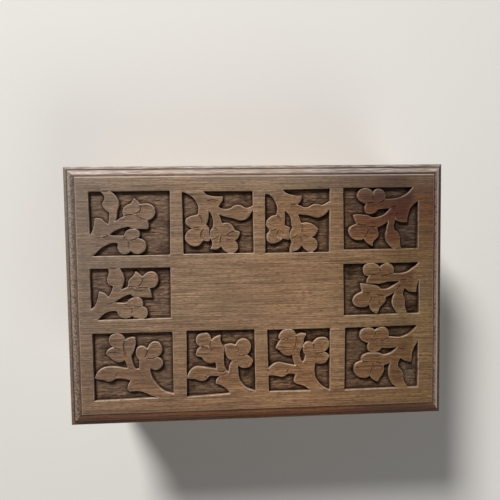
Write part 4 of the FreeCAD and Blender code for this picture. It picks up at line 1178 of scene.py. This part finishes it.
# All of these lie over the board's colour, one on another: dirt, wear and specks, with painted shade and
# painted highlights among them.
for share, blend, tint in (
    (deep, "MIX", soiled),
    # Painted shade with dirt at the foot of the walls.
    (wall_shade_and_dirt, "MULTIPLY", linear("#7E6C5C")),
    # Pale arrises: wear and a painted highlight.
    (rubbed_and_highlit, "MIX", linear("#CDB49E")),
    # Painted shade with dirt in the creases of the moulding.
    (1.0, "MULTIPLY", lines),
    # Painted sheen with wear on the back and right of the moulding.
    (pale, "MIX", linear("#D6C2B4")),
    # Painted shade on the front of the moulding.
    (front_shade, "MULTIPLY", linear("#E8CAA6")),
    (specked, "MIX", cut_grain),
    # Painted shade with dirt in the creases of the left end.
    (upper["left"], "MULTIPLY", left_crease_shade),
    (grey, "MIX", linear("#93887C")),
    # Painted highlights along the crests of both ends.
    (crest_highlight["left"], "MIX", linear("#E0CEC0")),
    (crest_highlight["right"], "MIX", linear("#E0CEC0")),
    # Painted shade outside the ovolo of the right end.
    (end_shade, "MULTIPLY", linear("#968A78")),
    # A film of dust with a painted sheen.
    (dust_and_sheen, "SCREEN", film),
):
    colour = add(tree, "ShaderNodeMix", {0: share, 6: colour, 7: tint}, data_type="RGBA", blend_type=blend)[2]
tree.links.new(colour, shader.inputs["Base Color"])

# Wax shines on the back of the moulding and a little on the face, and not in the dirty hollows.
shine = add(tree, "ShaderNodeMapRange", {0: polish, 3: 0.2, 4: 0.5})[0]
shine = add(tree, "ShaderNodeMix", {0: deep, 2: shine, 3: 0.03})[0]
tree.links.new(shine, shader.inputs["Specular IOR Level"])
dull = shader.inputs["Roughness"].links[0].from_socket
tree.links.new(add(tree, "ShaderNodeMix", {0: polish, 2: dull, 3: 0.3})[0], shader.inputs["Roughness"])

# Tool marks of the ground.
bump = shader.inputs["Normal"].links[0].from_socket
cut = add(tree, "ShaderNodeMath", {0: torn, 1: deep}, operation="MULTIPLY")[0]
rough = add(tree, "ShaderNodeBump", {"Height": cut, "Strength": 0.7, "Distance": 0.0006, "Normal": bump})[0]
tree.links.new(rough, shader.inputs["Normal"])
lid.data.materials.clear()
lid.data.materials.append(lid_oak)
lid.data.polygons.foreach_set("material_index", [0] * len(lid.data.polygons))
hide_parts("lid_board")
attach(lid, "lid")

# Floor: a broad, pale, plain surface under the box.
# It is matt, so that it shows the shadow of the box and no reflection.
bpy.ops.mesh.primitive_plane_add(size=6, location=(0, 0, 0))
floor = bpy.context.object
floor.name = "floor"
studio = bpy.data.materials.new("pale studio floor")
studio.use_nodes = True
shader = studio.node_tree.nodes["Principled BSDF"]
shader.inputs["Base Color"].default_value = linear("#E4E1DB")
shader.inputs["Roughness"].default_value = 0.9
shader.inputs["Specular IOR Level"].default_value = 0.0
floor.data.materials.append(studio)

# Light: a broad key from behind and to the left, low enough to rake the carving, and a large soft fill in
# front to the right, high enough to reach inside the open box. The world gives the box only a faint light,
# and is white where the camera or a reflection sees it.
centre = Vector((0, 0, 0.12))
for name, place, size, power in (
    ("key", (-1.6, 3.18, 2.41), 1.1, 246.0),
    ("fill", (0.9, -1.5, 1.7), 1.5, 13.0),
):
    lamp = bpy.data.lights.new(name, "AREA")
    lamp.shape = "DISK"
    lamp.size = size
    lamp.energy = power
    holder = bpy.data.objects.new(name, lamp)
    bpy.context.scene.collection.objects.link(holder)
    holder.location = place
    holder.rotation_euler = (Vector(place) - centre).to_track_quat("Z", "Y").to_euler()
world = bpy.data.worlds.new("studio")
bpy.context.scene.world = world
world.use_nodes = True
tree = world.node_tree
ray = add(tree, "ShaderNodeLightPath")
seen = ray["Is Camera Ray"]
for kind in ("Is Transmission Ray", "Is Glossy Ray"):
    seen = add(tree, "ShaderNodeMath", {0: seen, 1: ray[kind]}, operation="MAXIMUM")[0]
strength = add(tree, "ShaderNodeMapRange", {0: seen, 3: 0.04, 4: 1.0})[0]
tree.links.new(strength, tree.nodes["Background"].inputs["Strength"])
tree.nodes["Background"].inputs["Color"].default_value = (1, 1, 1, 1)

# Camera: almost square on to the lid, from a little to the left of its middle and behind it.
# It is tipped and turned by a few degrees, as the camera of the photograph was.
eye_place, eye_turn = (-0.0353, 0.06838, 0.58078), (-3.33, -3.543, -0.777)
eye = bpy.data.cameras.new("camera")
eye.lens = 36.0
eye.sensor_width = 36.0
camera = bpy.data.objects.new("camera", eye)
bpy.context.scene.collection.objects.link(camera)
turned = Euler([math.radians(angle) for angle in eye_turn]).to_matrix().to_4x4()
camera.matrix_world = Matrix.Translation(eye_place) @ turned
bpy.context.scene.camera = camera
bpy.context.scene.view_settings.view_transform = "Standard"
